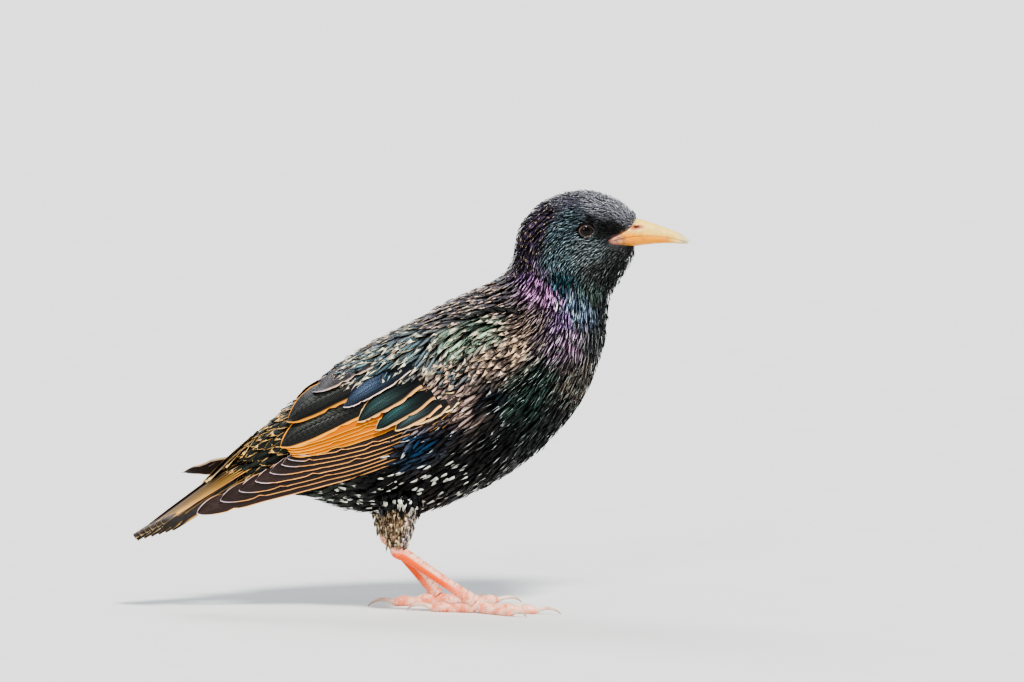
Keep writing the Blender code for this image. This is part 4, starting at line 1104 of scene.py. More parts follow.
GREATER = (
    Greater((-20.4, 67.0), 26.0, Look(
        (0.05, 0.055, 0.075), (0.40, 0.47, 0.58), 0.5, LILAC_RIM, (0.86, 0.74, 0.68), 0.35, 0.35, 0.3, 0.65
    )),
    Greater((-16.3, 63.2), 24.0, TEAL_COVERT._replace(gloss=(0.33, 0.46, 0.455))),
    Greater((-10.7, 61.2), 22.0, TEAL_COVERT),
    Greater((-4.5, 61.4), 17.0, Look(
        (0.10, 0.09, 0.088), (0.38, 0.50, 0.50), 0.35, BUFF, FAWN, 0.75, 0.3, 0.45, 0.7
    )),
    Greater((1.5, 63.4), 13.0, Look(
        (0.10, 0.085, 0.085), (0.44, 0.42, 0.44), 0.3, BUFF, BUFF, 0.6, 0.4, 0.6, 0.65
    )),
    Greater((7.0, 66.2), 10.0, Look(
        (0.20, 0.16, 0.155), (0.62, 0.54, 0.52), 0.2, BUFF, BUFF, 0.5, 0.4, 0.6, 0.6
    )),
)


def lerp(a, b, t):
    return tuple(p + (q - p) * t for p, q in zip(a, b))


def turned(point, pivot, angle, stretch):
    """A point of the side view, turned about a pivot and moved out from it."""
    x, z = point[0] - pivot[0], point[1] - pivot[1]
    c, s = stretch * math.cos(angle), stretch * math.sin(angle)
    return (pivot[0] + x * c + z * s, pivot[1] - x * s + z * c)


def vane_plan(length, half, taper):
    """Along, across, half width and droop of a long vane's points, in mm."""
    t = 1 - (1 - np.linspace(0, 1, LONG_ROWS)) ** 1.6
    body = 0.6 + 0.4 * smooth(t, 0.0, 0.35)
    reach = half * (1.2 + 3.4 * taper) / length
    past = 1 - np.clip((1 - t) / reach, 0, 1)
    width = half * np.maximum(body * (1 - past**2) ** (0.5 + 0.3 * taper), 0.03)
    return t, LONG_ACROSS, width, LEAN * half * (1 - past**2)


def shaft(s):
    """How high a long vane stands across its width, with the shaft in its middle."""
    return VANE_CROWN * (1 - s**2) + SHAFT_HEIGHT * np.exp(-((s / SHAFT_WIDTH) ** 2))


UNEVEN, SPLIT = 0.1, 0.45  # how rough a vane's edge is and how deep its splits are, in mm
UNSPLIT = 0.9  # the share of its edge that has no split


def wing_vane_points(vane, side):
    """A vane that lies on the folded wing, with small steps and splits in its edges."""
    root, tip = np.array(vane.root), np.array(vane.tip)
    line = tip - root
    length = np.hypot(*line)
    across = np.array((line[1], -line[0])) / length
    if across[1] < 0:
        across = -across
    t, s, width, raised = vane_plan(length, vane.half, vane.look.taper)
    middle = root + line * t[:, None] + across * (vane.bow * 4 * t * (1 - t) + raised)[:, None]
    notch = rng.uniform(-UNEVEN, UNEVEN, (LONG_ROWS, LONG_COLUMNS))
    split = SPLIT * (rng.uniform(0, 1, notch.shape) > UNSPLIT)
    notch = (notch - split * s) * (np.abs(s) == 1)
    reach = width[:, None] * s + notch * (smooth(t, 0.1, 0.3) * smooth(t, 1.0, 0.9))[:, None]
    flat = middle[:, None] + across * reach[..., None]
    height = np.broadcast_to(vane.lift - s * vane.tilt / 2 + shaft(s), reach.shape)
    return WING_SURFACE.over(flat[..., 0], flat[..., 1], height, side), t, s, width, length


TIP_FRINGE = (7.0, 2.5)  # how far from the tip the side fringes turn into the tip's, in mm
# A painted sheen: the gloss colour in a band along a long vane, its least share, where it peaks and how
# far it reaches
SHEEN_LEAST, SHEEN_AT, SHEEN_REACH = 0.12, 0.62, 0.25
VARIETY = 0.12  # how much long vanes differ in brightness
WHOLE_TIP = 4.0  # a mark so wide that it covers a tip from side to side


def long_values(vane):
    """The markings of one long vane, as values that the shader reads."""
    _, t, s, width, length, look = vane
    along, across = np.repeat(t, LONG_COLUMNS), np.tile(s, LONG_ROWS)
    half = np.repeat(width, LONG_COLUMNS)
    ones = np.ones(LONG_SIZE)
    end = length * (1 - along) + 0.15 * half * np.abs(across)
    near_tip = smooth(length * (1 - along), *TIP_FRINGE)
    low, up = (fringe + (look.end - fringe) * near_tip for fringe in (look.low, look.up))
    # painted sheen: the band of gloss colour across the vane's middle
    off_middle = smooth(np.abs(across - 0.15), 0.75, 0.1)
    sheen = np.exp(-(((along - SHEEN_AT) / SHEEN_REACH) ** 2)) * off_middle
    sheen = SHEEN_LEAST + (1 - SHEEN_LEAST) * sheen
    seed, vary = rng.uniform(0, 1), math.exp(rng.normal(0, VARIETY))
    base, gloss, tip, edge = (
        np.clip(np.array(linear(tint)) * vary, 0, 1) * ones[:, None]
        for tint in (look.base, look.gloss, look.tip, look.edge)
    )
    edge += (np.array(linear(look.tip)) * vary - edge) * near_tip[:, None]
    return {
        "vane": np.stack((along, across, seed * ones), axis=1),
        "edges": np.stack((half * (1 + across), half * (1 - across), end), axis=1),
        "fringes": np.stack((low, up, look.end * ones), axis=1),
        "shape": np.stack((WHOLE_TIP * ones, 0 * ones, sheen), axis=1),
        "shine": look.shine * ones,
        "base_tint": with_alpha(base),
        "gloss_tint": with_alpha(gloss),
        "tip_tint": with_alpha(tip),
        "edge_tint": with_alpha(edge),
    }


def vanes_piece(name, vanes, replaced):
    """One piece from long vanes, given as (points, t, s, width, length, look)."""
    values = [long_values(vane) for vane in vanes]
    points = np.concatenate([vane[0].reshape(-1, 3) for vane in vanes])
    faces = tile_faces(vane_faces(LONG_ROWS, LONG_COLUMNS), len(vanes), LONG_SIZE)
    piece = mesh_piece(name, points, faces, VANES, replaced)
    piece.data.set_sharp_from_angle(angle=math.radians(55))
    joined = {key: np.concatenate([value[key] for value in values]) for key in values[0]}
    set_attributes(piece.data, **joined)
    columns = math.ceil(math.sqrt(len(vanes)))
    row, column = np.divmod(np.repeat(np.arange(len(vanes)), LONG_SIZE), columns)
    t, s = joined["vane"][:, 0], joined["vane"][:, 1]
    spot = np.stack((column + 0.05 + 0.9 * t, row + 0.5 + 0.45 * s), axis=1)
    set_bake_map(piece.data, spot / columns)


def wing_vanes(side):
    """Every long feather of a folded wing, in side view."""
    made = []
    last = len(PRIMARY_TIPS) - 1
    for i, tip in enumerate(PRIMARY_TIPS):
        look = PRIMARY
        if side == LEFT:
            turn = LEFT_HAND_TURN * (LEFT_HAND_LEAST + (1 - LEFT_HAND_LEAST) * i / last)
            tip = turned(tip, LEFT_HAND_PIVOT, turn, 1 + LEFT_HAND_LONGER * i / last)
            look = FAR_EDGED
        lift = PRIMARY_LIFT + PRIMARY_STEP * (last - i)
        root = lerp(*PRIMARY_ROOTS, i / last)
        made.append(Vane(root, tip, half=2.9, lift=lift, tilt=1.8, bow=-0.5, look=look))
    top = PRIMARY_LIFT + PRIMARY_STEP * last
    for i in range(SECONDARIES):
        t = i / (SECONDARIES - 1)
        root, tip = lerp(*SECONDARY_ROOTS, t), lerp(*SECONDARY_TIPS, t)
        lift = top + SECONDARY_STEP * (i + 1)
        made.append(Vane(root, tip, half=2.4, lift=lift, tilt=1.5, bow=-0.4, look=ORANGE_WEB))
    made += TERTIALS
    back = np.array((math.cos(COVERT_SLOPE), math.sin(COVERT_SLOPE)))
    for i in range(HAND_COVERTS):
        t = i / (HAND_COVERTS - 1)
        tip = np.array(lerp(*HAND_COVERT_TIPS, t))
        root = tip + back * HAND_COVERT_LENGTH
        lift = HAND_COVERT_LIFT - HAND_COVERT_DROP * t
        made.append(Vane(root, tip, half=2.0, lift=lift, tilt=1.0, bow=0.0, look=PRIMARY))
    for i, (tip, length, look) in enumerate(GREATER):
        root = np.array(tip) + back * length
        lift = GREATER_LIFT - GREATER_STEP * i
        made.append(Vane(root, tip, half=3.1, lift=lift, tilt=1.1, bow=0.3, look=look))
    return made


def make_wing(leg):
    vanes = [(*wing_vane_points(vane, leg.side), vane.look) for vane in wing_vanes(leg.side)]
    vanes_piece("plumes_wing_" + leg.word, vanes, ("wing_" + leg.word,))


TAIL_ROOT = np.array((-47.5, 0.0, 52.1))
TAIL_DIRECTION = Vector((-0.829, 0.0, -0.559)).normalized()
TAIL_LENGTH, TAIL_ROLL = 52.4, math.radians(14)
TAIL_OUTER_SHORTER = 11.0
TAIL_ROOT_LEVELS, TAIL_TIP_LEVELS = (3.2, -2.0), (0.9, -1.6)
TAIL_ROOT_SIDES, TAIL_TIP_SIDES = (0.5, 2.3), (1.6, 7.0)
PAIR_APART = 0.12
# A tier of coverts: above or below the tail, its levels at root and tip, its start and length
Tier = namedtuple("Tier", "sign root_level tip_level start length")
TAIL_TIERS = (Tier(1, 5.6, 2.2, 4.0, 20.0), Tier(-1, -4.6, -4.0, 1.0, 27.0))
TIER_ROWS, TIER_ACROSS = 3, 5
TIER_SIDES, TIER_OFF_MIDDLE = (2.0, 5.2), 0.01
TIER_CROWN, ROW_RISE = 0.9, 0.35
ROW_BACK, ROW_SHORTER, OUTER_SHORTER = 2.5, 4.5, 3


def make_tail():
    """Twelve tail feathers, the middle pair on top, with coverts over and under."""
    left = Matrix.Rotation(TAIL_ROLL, 3, TAIL_DIRECTION) @ Vector((0, 1, 0))
    up = left.cross(TAIL_DIRECTION)
    if up.z < 0:
        up = -up
    ahead, left, up = np.array(TAIL_DIRECTION), np.array(left), np.array(up)
    vanes = []

    def add(sides, reach, levels, half, tilt, look):
        start, length = reach
        outward = math.copysign(1, sides[1])
        t, s, width, _ = vane_plan(length, half, look.taper)
        middle = sides[0] + (sides[1] - sides[0]) * t
        across = middle[:, None] + width[:, None] * s
        level = levels[0] + (levels[1] - levels[0]) * t[:, None]
        level = level - s * outward * tilt / 2 + shaft(s)
        forward = (start + length * t)[:, None, None]
        points = TAIL_ROOT + ahead * forward + left * across[..., None] + up * level[..., None]
        vanes.append((points, t, -s if outward > 0 else s, width, length, look))

    for i, look in enumerate(TAIL_LOOKS):
        share = i / (len(TAIL_LOOKS) - 1)
        for side in (RIGHT, LEFT):
            sides = [side * (a + b * share) for a, b in (TAIL_ROOT_SIDES, TAIL_TIP_SIDES)]
            apart = PAIR_APART * side
            levels = [a + (b - a) * share - apart for a, b in (TAIL_ROOT_LEVELS, TAIL_TIP_LEVELS)]
            reach = (0.0, TAIL_LENGTH - TAIL_OUTER_SHORTER * share)
            add(sides, reach, levels, half=3.2, tilt=2.0, look=look)
    for tier in TAIL_TIERS:
        for row in range(TIER_ROWS):
            for t in np.linspace(-1, 1, TIER_ACROSS):
                crown = tier.sign * (TIER_CROWN * (1 - abs(t)) + ROW_RISE * row)
                length = tier.length - OUTER_SHORTER * abs(t) - ROW_SHORTER * row
                reach = (tier.start - ROW_BACK * row, length)
                levels = (tier.root_level + crown, tier.tip_level + crown)
                sides = [side * t + TIER_OFF_MIDDLE for side in TIER_SIDES]
                add(sides, reach, levels, half=2.5, tilt=tier.sign, look=TAIL_COVERT)
    vanes_piece("plumes_tail", vanes, ("tail",))


# Bill

# Sections of the bill: x, z of the ridge or keel, z of the bite, and half width
UPPER_BILL = (
    (63.9, 123.2, 122.0, 6.2),
    (66.2, 124.6, 122.5, 7.5),
    (69.0, 126.2, 123.1, 6.4),
    (72.0, 128.1, 123.6, 4.9),
    (74.6, 129.2, 123.8, 4.0),
    (78.6, 128.1, 123.8, 3.1),
    (82.4, 126.8, 123.5, 2.4),
    (86.0, 125.4, 122.9, 1.8),
    (89.0, 124.1, 122.2, 1.3),
    (91.0, 122.9, 121.7, 0.9),
    (91.9, 122.0, 121.3, 0.45),
)
LOWER_BILL = (
    (63.9, 121.0, 121.9, 6.1),
    (66.2, 120.2, 122.4, 7.3),
    (69.0, 119.7, 123.0, 6.1),
    (72.0, 119.9, 123.5, 4.7),
    (74.6, 120.3, 123.7, 3.85),
    (78.6, 120.8, 123.7, 3.0),
    (82.4, 121.1, 123.4, 2.3),
    (86.0, 121.1, 122.8, 1.65),
    (89.0, 120.9, 122.1, 1.05),
    (91.3, 121.0, 121.45, 0.4),
)
NOSTRIL = (74.2, 126.6)
NOSTRIL_HALF = (1.6, 0.6)
BILL_RINGS, BILL_ARC = 90, 30
BILL_POWER = 0.85  # under 1, a section is fuller than a round one
NOSTRIL_DENT, NOSTRIL_FLAP = 0.3, 0.12


def bill_material():
    """Pale horn: pink at the base, orange along the bite, cream ridge and white tip. The cream ridge is
    partly painted highlight of the lit top, the orange along the bite partly painted shade.
    """
    shader = Shader("bill horn")
    times, ramp, mix = shader.times, shader.ramp, shader.mix
    x, _, z = shader.split(shader.place())
    grain = shader.noise(500.0, 4.0, 0.65)
    pink, cream = rgba(0.73, 0.50, 0.43), rgba(0.97, 0.83, 0.45)
    orange, white = rgba(0.97, 0.60, 0.0), rgba(0.88, 0.81, 0.66)
    off_middle = shader.math("ABSOLUTE", shader.math("SUBTRACT", x, 0.0775))
    # Painted light over the horn's own yellow and orange: the orange band low on the bill is partly
    # painted shade, the cream above it partly painted highlight
    orange_and_shade_band = times(ramp(times(x, 0.12, z), 0.1350, 0.1322), ramp(off_middle, 0.0105, 0.006))
    colour = mix(ramp(x, 0.0675, 0.0745), pink, cream)
    colour = mix(orange_and_shade_band, colour, orange)
    colour = mix(ramp(x, 0.086, 0.0915), colour, white)
    slot = [
        shader.math("DIVIDE", shader.math("SUBTRACT", axis, middle * MM), half * MM)
        for axis, middle, half in zip((x, z), NOSTRIL, NOSTRIL_HALF)
    ]
    slot = times(slot[0], slot[0], times(slot[1], slot[1]))
    # Round the nostril its own reddish-brown skin; the dark core in the dent is painted shade
    colour = mix(ramp(slot, 4.0, 0.6), colour, rgba(0.78, 0.48, 0.36))
    colour = mix(ramp(slot, 0.6, 0.1), colour, rgba(0.38, 0.20, 0.15))
    stain = times(ramp(grain, 0.44, 0.62), times(ramp(x, 0.074, 0.067), 0.75, 0.25))
    colour = mix(stain, colour, rgba(0.47, 0.32, 0.28))
    shader.set(Base_Color=colour, Roughness=times(grain, 0.25, 0.2), Specular_IOR_Level=0.3)
    shader.set(Subsurface_Weight=0.06, Subsurface_Radius=(0.001, 0.0006, 0.0002))
    shader.bump(grain, 0.2, 0.0002)
    return shader.material


def near_nostril(x, z, rise, wide, high):
    """1 at a point a little above the nostril, fading to 0 round it."""
    off_x, off_z = x - NOSTRIL[0], z - NOSTRIL[1] - rise
    return np.exp(-((off_x / wide) ** 2) - (off_z / high) ** 2)


def make_mandible(name, sections, material, replaced):
    """Half of the bill: flat along the bite, arched to the ridge or keel."""
    table = curve_through(sections, BILL_RINGS)
    angle = np.linspace(0, math.pi, BILL_ARC)
    x, ridge, edge, half = (table[:, i][:, None] for i in range(4))
    height = edge + (ridge - edge) * np.sin(angle) ** BILL_POWER
    width = half * np.sign(np.cos(angle)) * np.abs(np.cos(angle)) ** BILL_POWER
    if sections is UPPER_BILL:
        width = width * (1 - NOSTRIL_DENT * near_nostril(x, height, 0.0, 1.5, 0.5))
        width = width * (1 + NOSTRIL_FLAP * near_nostril(x, height, 0.9, 2.2, 0.45))
    points = np.stack((np.broadcast_to(x, width.shape), width, height), axis=-1).reshape(-1, 3)
    faces = capped_faces(BILL_RINGS, BILL_ARC)
    piece = mesh_piece(name, points, faces, material, (replaced,))
    piece.data.set_sharp_from_angle(angle=math.radians(50))


def make_bill():
    material = bill_material()
    make_mandible("mandible_upper", UPPER_BILL, material, "bill_upper")
    make_mandible("mandible_lower", LOWER_BILL, material, "bill_lower")


# Eyes

EYE_RADIUS, EYE_SUNK = 3.4, 2.5
EYE_TURN = math.radians(9)
EYE_RINGS, EYE_SIDES = 36, 48
LID_WIDE, LID_HIGH, LID_THICK = 2.3, 1.85, 0.27
LID_AROUND, LID_ACROSS = 96, 12
LID_WRINKLES = ((0.12, 29, 0), (0.08, 41, 1))  # depth, number round the eye and start
EYE_CORNER, CORNER_REACH = 0.45, 0.4  # how far the lids reach past their oval in front


def eye_material():
    """Dark brown iris round a black pupil, under a wet clear coat."""
    shader = Shader("eye")
    wide = shader.times(shader.noise(2500.0, 3.0), 0.06, shader.attribute("from_axis"))
    iris = shader.mix(shader.ramp(wide, 0.46, 0.66), rgba(0.15, 0.09, 0.06), rgba(0.06, 0.04, 0.03))
    colour = shader.mix(shader.ramp(wide, 0.42, 0.46), rgba(0.005, 0.005, 0.005), iris)
    shader.set(Base_Color=colour, Roughness=0.6, Specular_IOR_Level=0.0)
    shader.set(Coat_Weight=0.6, Coat_Roughness=0.03, Coat_IOR=1.4)
    return shader.material


def lid_material():
    """Dark wrinkled skin with paler patches."""
    shader = Shader("lid skin")
    grain, patches = shader.noise(1800.0, 3.0), shader.noise(420.0)
    bare = shader.mix(shader.ramp(patches, 0.46, 0.60), rgba(0.08, 0.06, 0.055), rgba(0.36, 0.26, 0.235))
    colour = shader.mix(shader.ramp(grain, 0.4, 0.75), bare, rgba(0.08, 0.055, 0.05))
    shader.set(Base_Color=colour, Roughness=0.5)
    shader.bump(grain, 0.5, 0.0002)
    return shader.material


def eye_place(side):
    """Where an eye's centre is, with its axis turned a little forward."""
    x, z, lift = (np.array([value]) for value in (*EYE_AT, -EYE_SUNK))
    centre = BODY_SURFACE.over(x, z, lift, side)[0]
    look = Matrix.Rotation(-side * EYE_TURN, 4, "Z") @ Matrix.Rotation(-side * math.pi / 2, 4, "X")
    return Matrix.Translation(Vector(centre)) @ look


def moved(points, matrix):
    return points.reshape(-1, 3) @ np.array(matrix.to_3x3()).T + np.array(matrix.translation)


def make_eyeball(leg, place, material):
    tilt = np.linspace(0.02, math.pi - 0.02, EYE_RINGS)
    turn = circle(EYE_SIDES)
    flat = np.sin(tilt)[:, None]
    level = np.broadcast_to(np.cos(tilt)[:, None], (EYE_RINGS, EYE_SIDES))
    ball = np.stack((flat * np.cos(turn), flat * np.sin(turn), level), axis=-1)
    points = moved(ball * EYE_RADIUS, place)
    faces = capped_faces(EYE_RINGS, EYE_SIDES)
    eye = mesh_piece("eyeball_" + leg.word, points, faces, material, ("eye_" + leg.word,))
    set_attributes(eye.data, from_axis=np.repeat(tilt, EYE_SIDES))


def make_lid(leg, place, material):
    """A wrinkled rim that lies on the eyeball, longer at its front corner."""
    angle, turn = circle(LID_AROUND)[:, None], circle(LID_ACROSS)[None]
    wrinkle = 1 + sum(deep * np.sin(angle * many + start) for deep, many, start in LID_WRINKLES)
    corner = sum(EYE_CORNER * np.exp(-(((angle - a) / CORNER_REACH) ** 2)) for a in (0, 2 * math.pi))
    wide, high = (LID_WIDE + corner) * np.cos(angle), LID_HIGH * np.sin(angle)
    thick = LID_THICK * wrinkle * (1.15 - 0.35 * np.sin(angle))
    out = thick * np.cos(turn)
    held = np.sqrt(np.clip(EYE_RADIUS**2 - wide**2 - high**2, 0, None))
    height = held + thick * np.sin(turn) + 0.03
    ring = np.stack((wide + out * np.cos(angle), high + out * np.sin(angle), height), axis=-1)
    quads = ring_faces(LID_AROUND + 1, LID_ACROSS) % (LID_AROUND * LID_ACROSS)
    mesh_piece("lid_" + leg.word, moved(ring, place), halved(quads[:, (0, 3, 2, 1)]), material)


# Legs and feet

Leg = namedtuple("Leg", "word side hip ankle foot heading")
LEGS = (
    Leg("right", RIGHT, (-3.0, 7.5, 45.0), (-4.8, 11.0, 20.8), (21.6, 12.0, 2.9), -12.0),
    Leg("left", LEFT, (-6.5, 7.5, 46.0), (-8.6, 10.6, 23.4), (8.8, 12.0, 2.9), 12.0),
)
Toe = namedtuple("Toe", "name bearing length claw radius joints")
TOES = (
    Toe("hind", 178.0, 16.0, 7.8, 1.85, 2),
    Toe("inner", 33.0, 14.5, 6.0, 1.5, 2),
    Toe("middle", 0.0, 21.0, 7.0, 1.6, 3),
    Toe("outer", -32.0, 17.0, 5.6, 1.45, 4),
)
FLAT_DEPTH = 0.22
LEG_SIDES = 32
TARSUS_RINGS, TOE_RINGS = 170, 64
TARSUS_SCUTE, TOE_SCUTE = 2.5, 1.45
TARSUS_RELIEF, TOE_RELIEF = 0.3, 0.24
# The tarsus: how far before and after the ankle it bends, then shares of its own length
ANKLE_BENDS = (-5.1, -0.9)
ANKLE_SOFT = 0.5
TARSUS_STOPS = (0.12, 0.3, 0.5, 0.7, 0.85, 0.97)
TARSUS_RADII = (2.2, 2.15, 2.35, 2.15, 1.95, 1.85, 1.9, 2.1, 2.4)
KNUCKLE, TOE_TAPER = 0.11, 0.3
TOE_END = (0.86, 0.92)  # where a toe's end begins, and how much thinner it gets there
TOE_LEVEL = 0.25  # how far that end sinks to the floor
CLAW_RINGS, CLAW_SIDES = 36, 16
CLAW_BASE, CLAW_SUNK, CLAW_CURVE, CLAW_TIP = 0.45, 0.9, 1.25, 0.06
CLAW_HIDDEN = 1.2  # added to a claw's length, for its part inside the toe
CLAW_ARCH = 0.16  # how high a claw arches, as a share of its length


def leg_material():
    """Pink scaled skin with a bright orange stripe behind the tarsus, and painted shade in the creases
    between its scales.
    """
    shader = Shader("leg skin")
    ramp, mix = shader.ramp, shader.mix
    _, _, z = shader.split(shader.place())
    patches = shader.noise(330.0, 4.0, 0.6)
    pale, flesh = rgba(0.99, 0.78, 0.68), rgba(0.95, 0.52, 0.38)
    orange, crease = rgba(0.99, 0.36, 0.0), rgba(0.72, 0.30, 0.18)
    colour = mix(ramp(patches, 0.38, 0.66), pale, flesh)
    below_ankle = shader.times(ramp(z, 0.004, 0.010), ramp(z, 0.0215, 0.0185))
    colour = mix(shader.times(shader.attribute("rear"), below_ankle), colour, orange)
    # painted shade: the crease colour in the joints between scales
    colour = mix(ramp(shader.attribute("scale"), 0.3, 0.0), colour, crease)
    shader.set(Base_Color=colour, Roughness=shader.times(patches, 0.2, 0.33))
    shader.set(Subsurface_Weight=0.15, Subsurface_Radius=(0.002, 0.0008, 0.0004))
    shader.bump(shader.noise(1600.0, 3.0), 0.3, 0.0002)
    return shader.material


def claw_material():
    """Pale horn that darkens towards the point."""
    shader = Shader("claw horn")
    grain = shader.noise(900.0, 3.0)
    colour = shader.mix(shader.attribute("to_point"), rgba(0.94, 0.80, 0.71), rgba(0.66, 0.53, 0.47))
    colour = shader.mix(shader.ramp(grain, 0.45, 0.8), colour, rgba(0.74, 0.58, 0.50))
    shader.set(Base_Color=colour, Roughness=0.25)
    shader.bump(grain, 0.2, 0.0002)
    return shader.material


def scaled_tube(line, radii, scute, depth):
    """A tube with plates across its front, where each overlaps the next like a tile."""
    travel = np.concatenate(((0,), np.cumsum(np.linalg.norm(np.diff(line, axis=0), axis=1))))
    phase = (travel / scute) % 1.0
    angle = circle(LEG_SIDES)
    front = smooth(np.cos(angle), -0.1, 0.5)[None]
    small = 0.5 + 0.5 * np.sin(travel / scute * 4 * math.pi)[:, None] * np.sin(angle * 5)[None]
    tile = smooth(phase, 0.0, 0.12) * (1 - phase)
    grid = radii[:, None] + depth * (tile[:, None] * front + 0.4 * small * (1 - front)) - depth * 0.4
    scale = (np.minimum(phase * 2, 1 - phase) * 2)[:, None] * front + small * (1 - front)
    rear = np.broadcast_to(smooth(-np.cos(angle), -0.4, 0.05), scale.shape)
    return swept(line, grid, LEG_SIDES), scale.ravel(), rear.ravel()


def toe_direction(leg, toe):
    angle = math.radians(leg.heading - leg.side * toe.bearing)
    return np.array((math.cos(angle), math.sin(angle), 0.0))


def tarsus_tube(leg):
    """The line and radii of a tarsus, which bends out of the shank at the ankle."""
    hip, ankle, foot = (on_side(p, leg.side) for p in (leg.hip, leg.ankle, leg.foot))
    entering = (ankle - hip) / np.linalg.norm(ankle - hip)
    down = (foot - ankle) / np.linalg.norm(foot - ankle)
    stops = [ankle + entering * far for far in ANKLE_BENDS] + [ankle + (entering + down) * ANKLE_SOFT]
    stops += [ankle + (foot - ankle) * share for share in TARSUS_STOPS]
    return curve_through(stops, TARSUS_RINGS), curve_through(TARSUS_RADII, TARSUS_RINGS)


def toe_tube(leg, toe):
    """A toe with pads under its joints, flat on the floor and round at its end."""
    foot = on_side(leg.foot, leg.side)
    t = np.linspace(0, 1, TOE_RINGS)
    knuckle = KNUCKLE * np.cos(2 * math.pi * toe.joints * t)
    closing = np.sqrt(1 - TOE_END[1] * smooth(t, TOE_END[0], 1.0) ** 2)
    full = toe.radius * (1.10 - TOE_TAPER * t - knuckle)
    radius = full * closing
    level = (1 - TOE_LEVEL) * full + TOE_LEVEL * radius - FLAT_DEPTH
    line = foot + toe_direction(leg, toe) * (toe.length * t)[:, None]
    line[:, 2] = np.maximum(level, (foot[2] - 0.3) * (1 - t) ** 3)
    return line, radius


def make_foot(leg, material):
    """The tarsus, the foot and its toes as one scaled skin."""
    tubes = [scaled_tube(*tarsus_tube(leg), TARSUS_SCUTE, TARSUS_RELIEF)]
    tubes += [scaled_tube(*toe_tube(leg, toe), TOE_SCUTE, TOE_RELIEF) for toe in TOES]
    rings, scales, rears = (np.concatenate(values) for values in zip(*tubes))
    rings[:, 2] = np.maximum(rings[:, 2], 0.0)
    faces, first = [], 0
    for points, _, _ in tubes:
        faces.append(first + capped_faces(len(points) // LEG_SIDES, LEG_SIDES))
        first += len(points)
    name, faces = "scaled_leg_" + leg.word, np.concatenate(faces)
    replaced = ("tarsus_" + leg.word, "foot_" + leg.word)
    piece = mesh_piece(name, rings, faces, material, replaced)
    set_attributes(piece.data, scale=scales, rear=rears)


def make_claws(leg, material):
    """Curved claws whose points come down to the floor."""
    t = np.linspace(0, 1, CLAW_RINGS)
    faces = capped_faces(CLAW_RINGS, CLAW_SIDES)
    for toe in TOES:
        base = toe.radius * CLAW_BASE
        ahead = toe_direction(leg, toe)
        start = on_side(leg.foot, leg.side) + ahead * (toe.length - CLAW_SUNK)
        forward = (toe.claw + CLAW_HIDDEN) * np.sin(t * CLAW_CURVE) / math.sin(CLAW_CURVE)
        line = start + ahead * forward[:, None]
        radius = base * (1 - t) ** 0.75 + CLAW_TIP
        arch = (base + 0.3) * (1 - t**2) + CLAW_ARCH * toe.claw * np.sin(math.pi * t**0.85)
        line[:, 2] = np.maximum(arch, radius + 0.03)
        name = f"{leg.word}_{toe.name}"
        points = swept(line, radius, CLAW_SIDES)
        piece = mesh_piece("horn_" + name, points, faces, material, ("claw_" + name,))
        set_attributes(piece.data, to_point=np.repeat(smooth(t, 0.2, 1.0), CLAW_SIDES))


# Thigh and shank feathers, with a paler streak down the front

THIGH_TINTS = ((0.02, 0.02, 0.022), (0.07, 0.075, 0.078), (0.80, 0.79, 0.73))
SHANK_TINTS = ((0.42, 0.34, 0.26), (0.62, 0.52, 0.42), (0.84, 0.74, 0.60))
STREAK = (0.82, 0.78, 0.79)
SHANK_STOPS, SHANK_RADII = (0, 0.33, 0.67, 1.0), (7.4, 6.9, 5.0, 2.9)
THIGH_END, THIGH_WIDER = 0.27, 1.6
SHANK_ROWS, SHANK_SPACING, SHANK_LEAST = 20, 1.25, 9
SHANK_FIRST, SHANK_REACH = 0.06, 0.76  # where the first row grows, and how far on the last
SHANK_LENGTHS, SHANK_HALVES = (3.8, 6.0), (0.55, 1.0)
SHANK_SUNK, SHANK_RISE, SHANK_RUFFLE, SHANK_BEND = 1.2, 1.1, (-0.2, 0.7), 0.7
SHANK_SIZES = (4.8, 1.6, 0.5, 0.05)  # length, width, hackle and shine of the markings
SHANK_SHADES = 0.45
SPOT_WIDTH, SPOT_SHARE, SPOT_DEPTH, SHANK_TIPS = 0.9, 0.18, 1.1, (-0.6, 0.9)


def shank_feather(share, angle, long, t, s, widths):
    """A feather's points: mm down the shank, angle round it and mm off its middle."""
    wider = THIGH_WIDER if share < THIGH_END else 1.0
    reach, half = wider * rng.uniform(*SHANK_LENGTHS), wider * rng.uniform(*SHANK_HALVES)
    ragged = 1 - 0.25 * s**2 * t - 0.22 * rng.uniform(0, 1, FULL.columns) * t**3
    place = share * long + t * reach * ragged
    around = np.interp(place / long, SHANK_STOPS, SHANK_RADII)
    height = around - SHANK_SUNK + SHANK_RISE * wider * t + 0.15 * (1 - s**2)
    height = height + rng.uniform(*SHANK_RUFFLE) * t
    sideways = half * widths * s + rng.normal(0, SHANK_BEND) * t
    return place, angle + sideways / np.maximum(around, 1.8), height


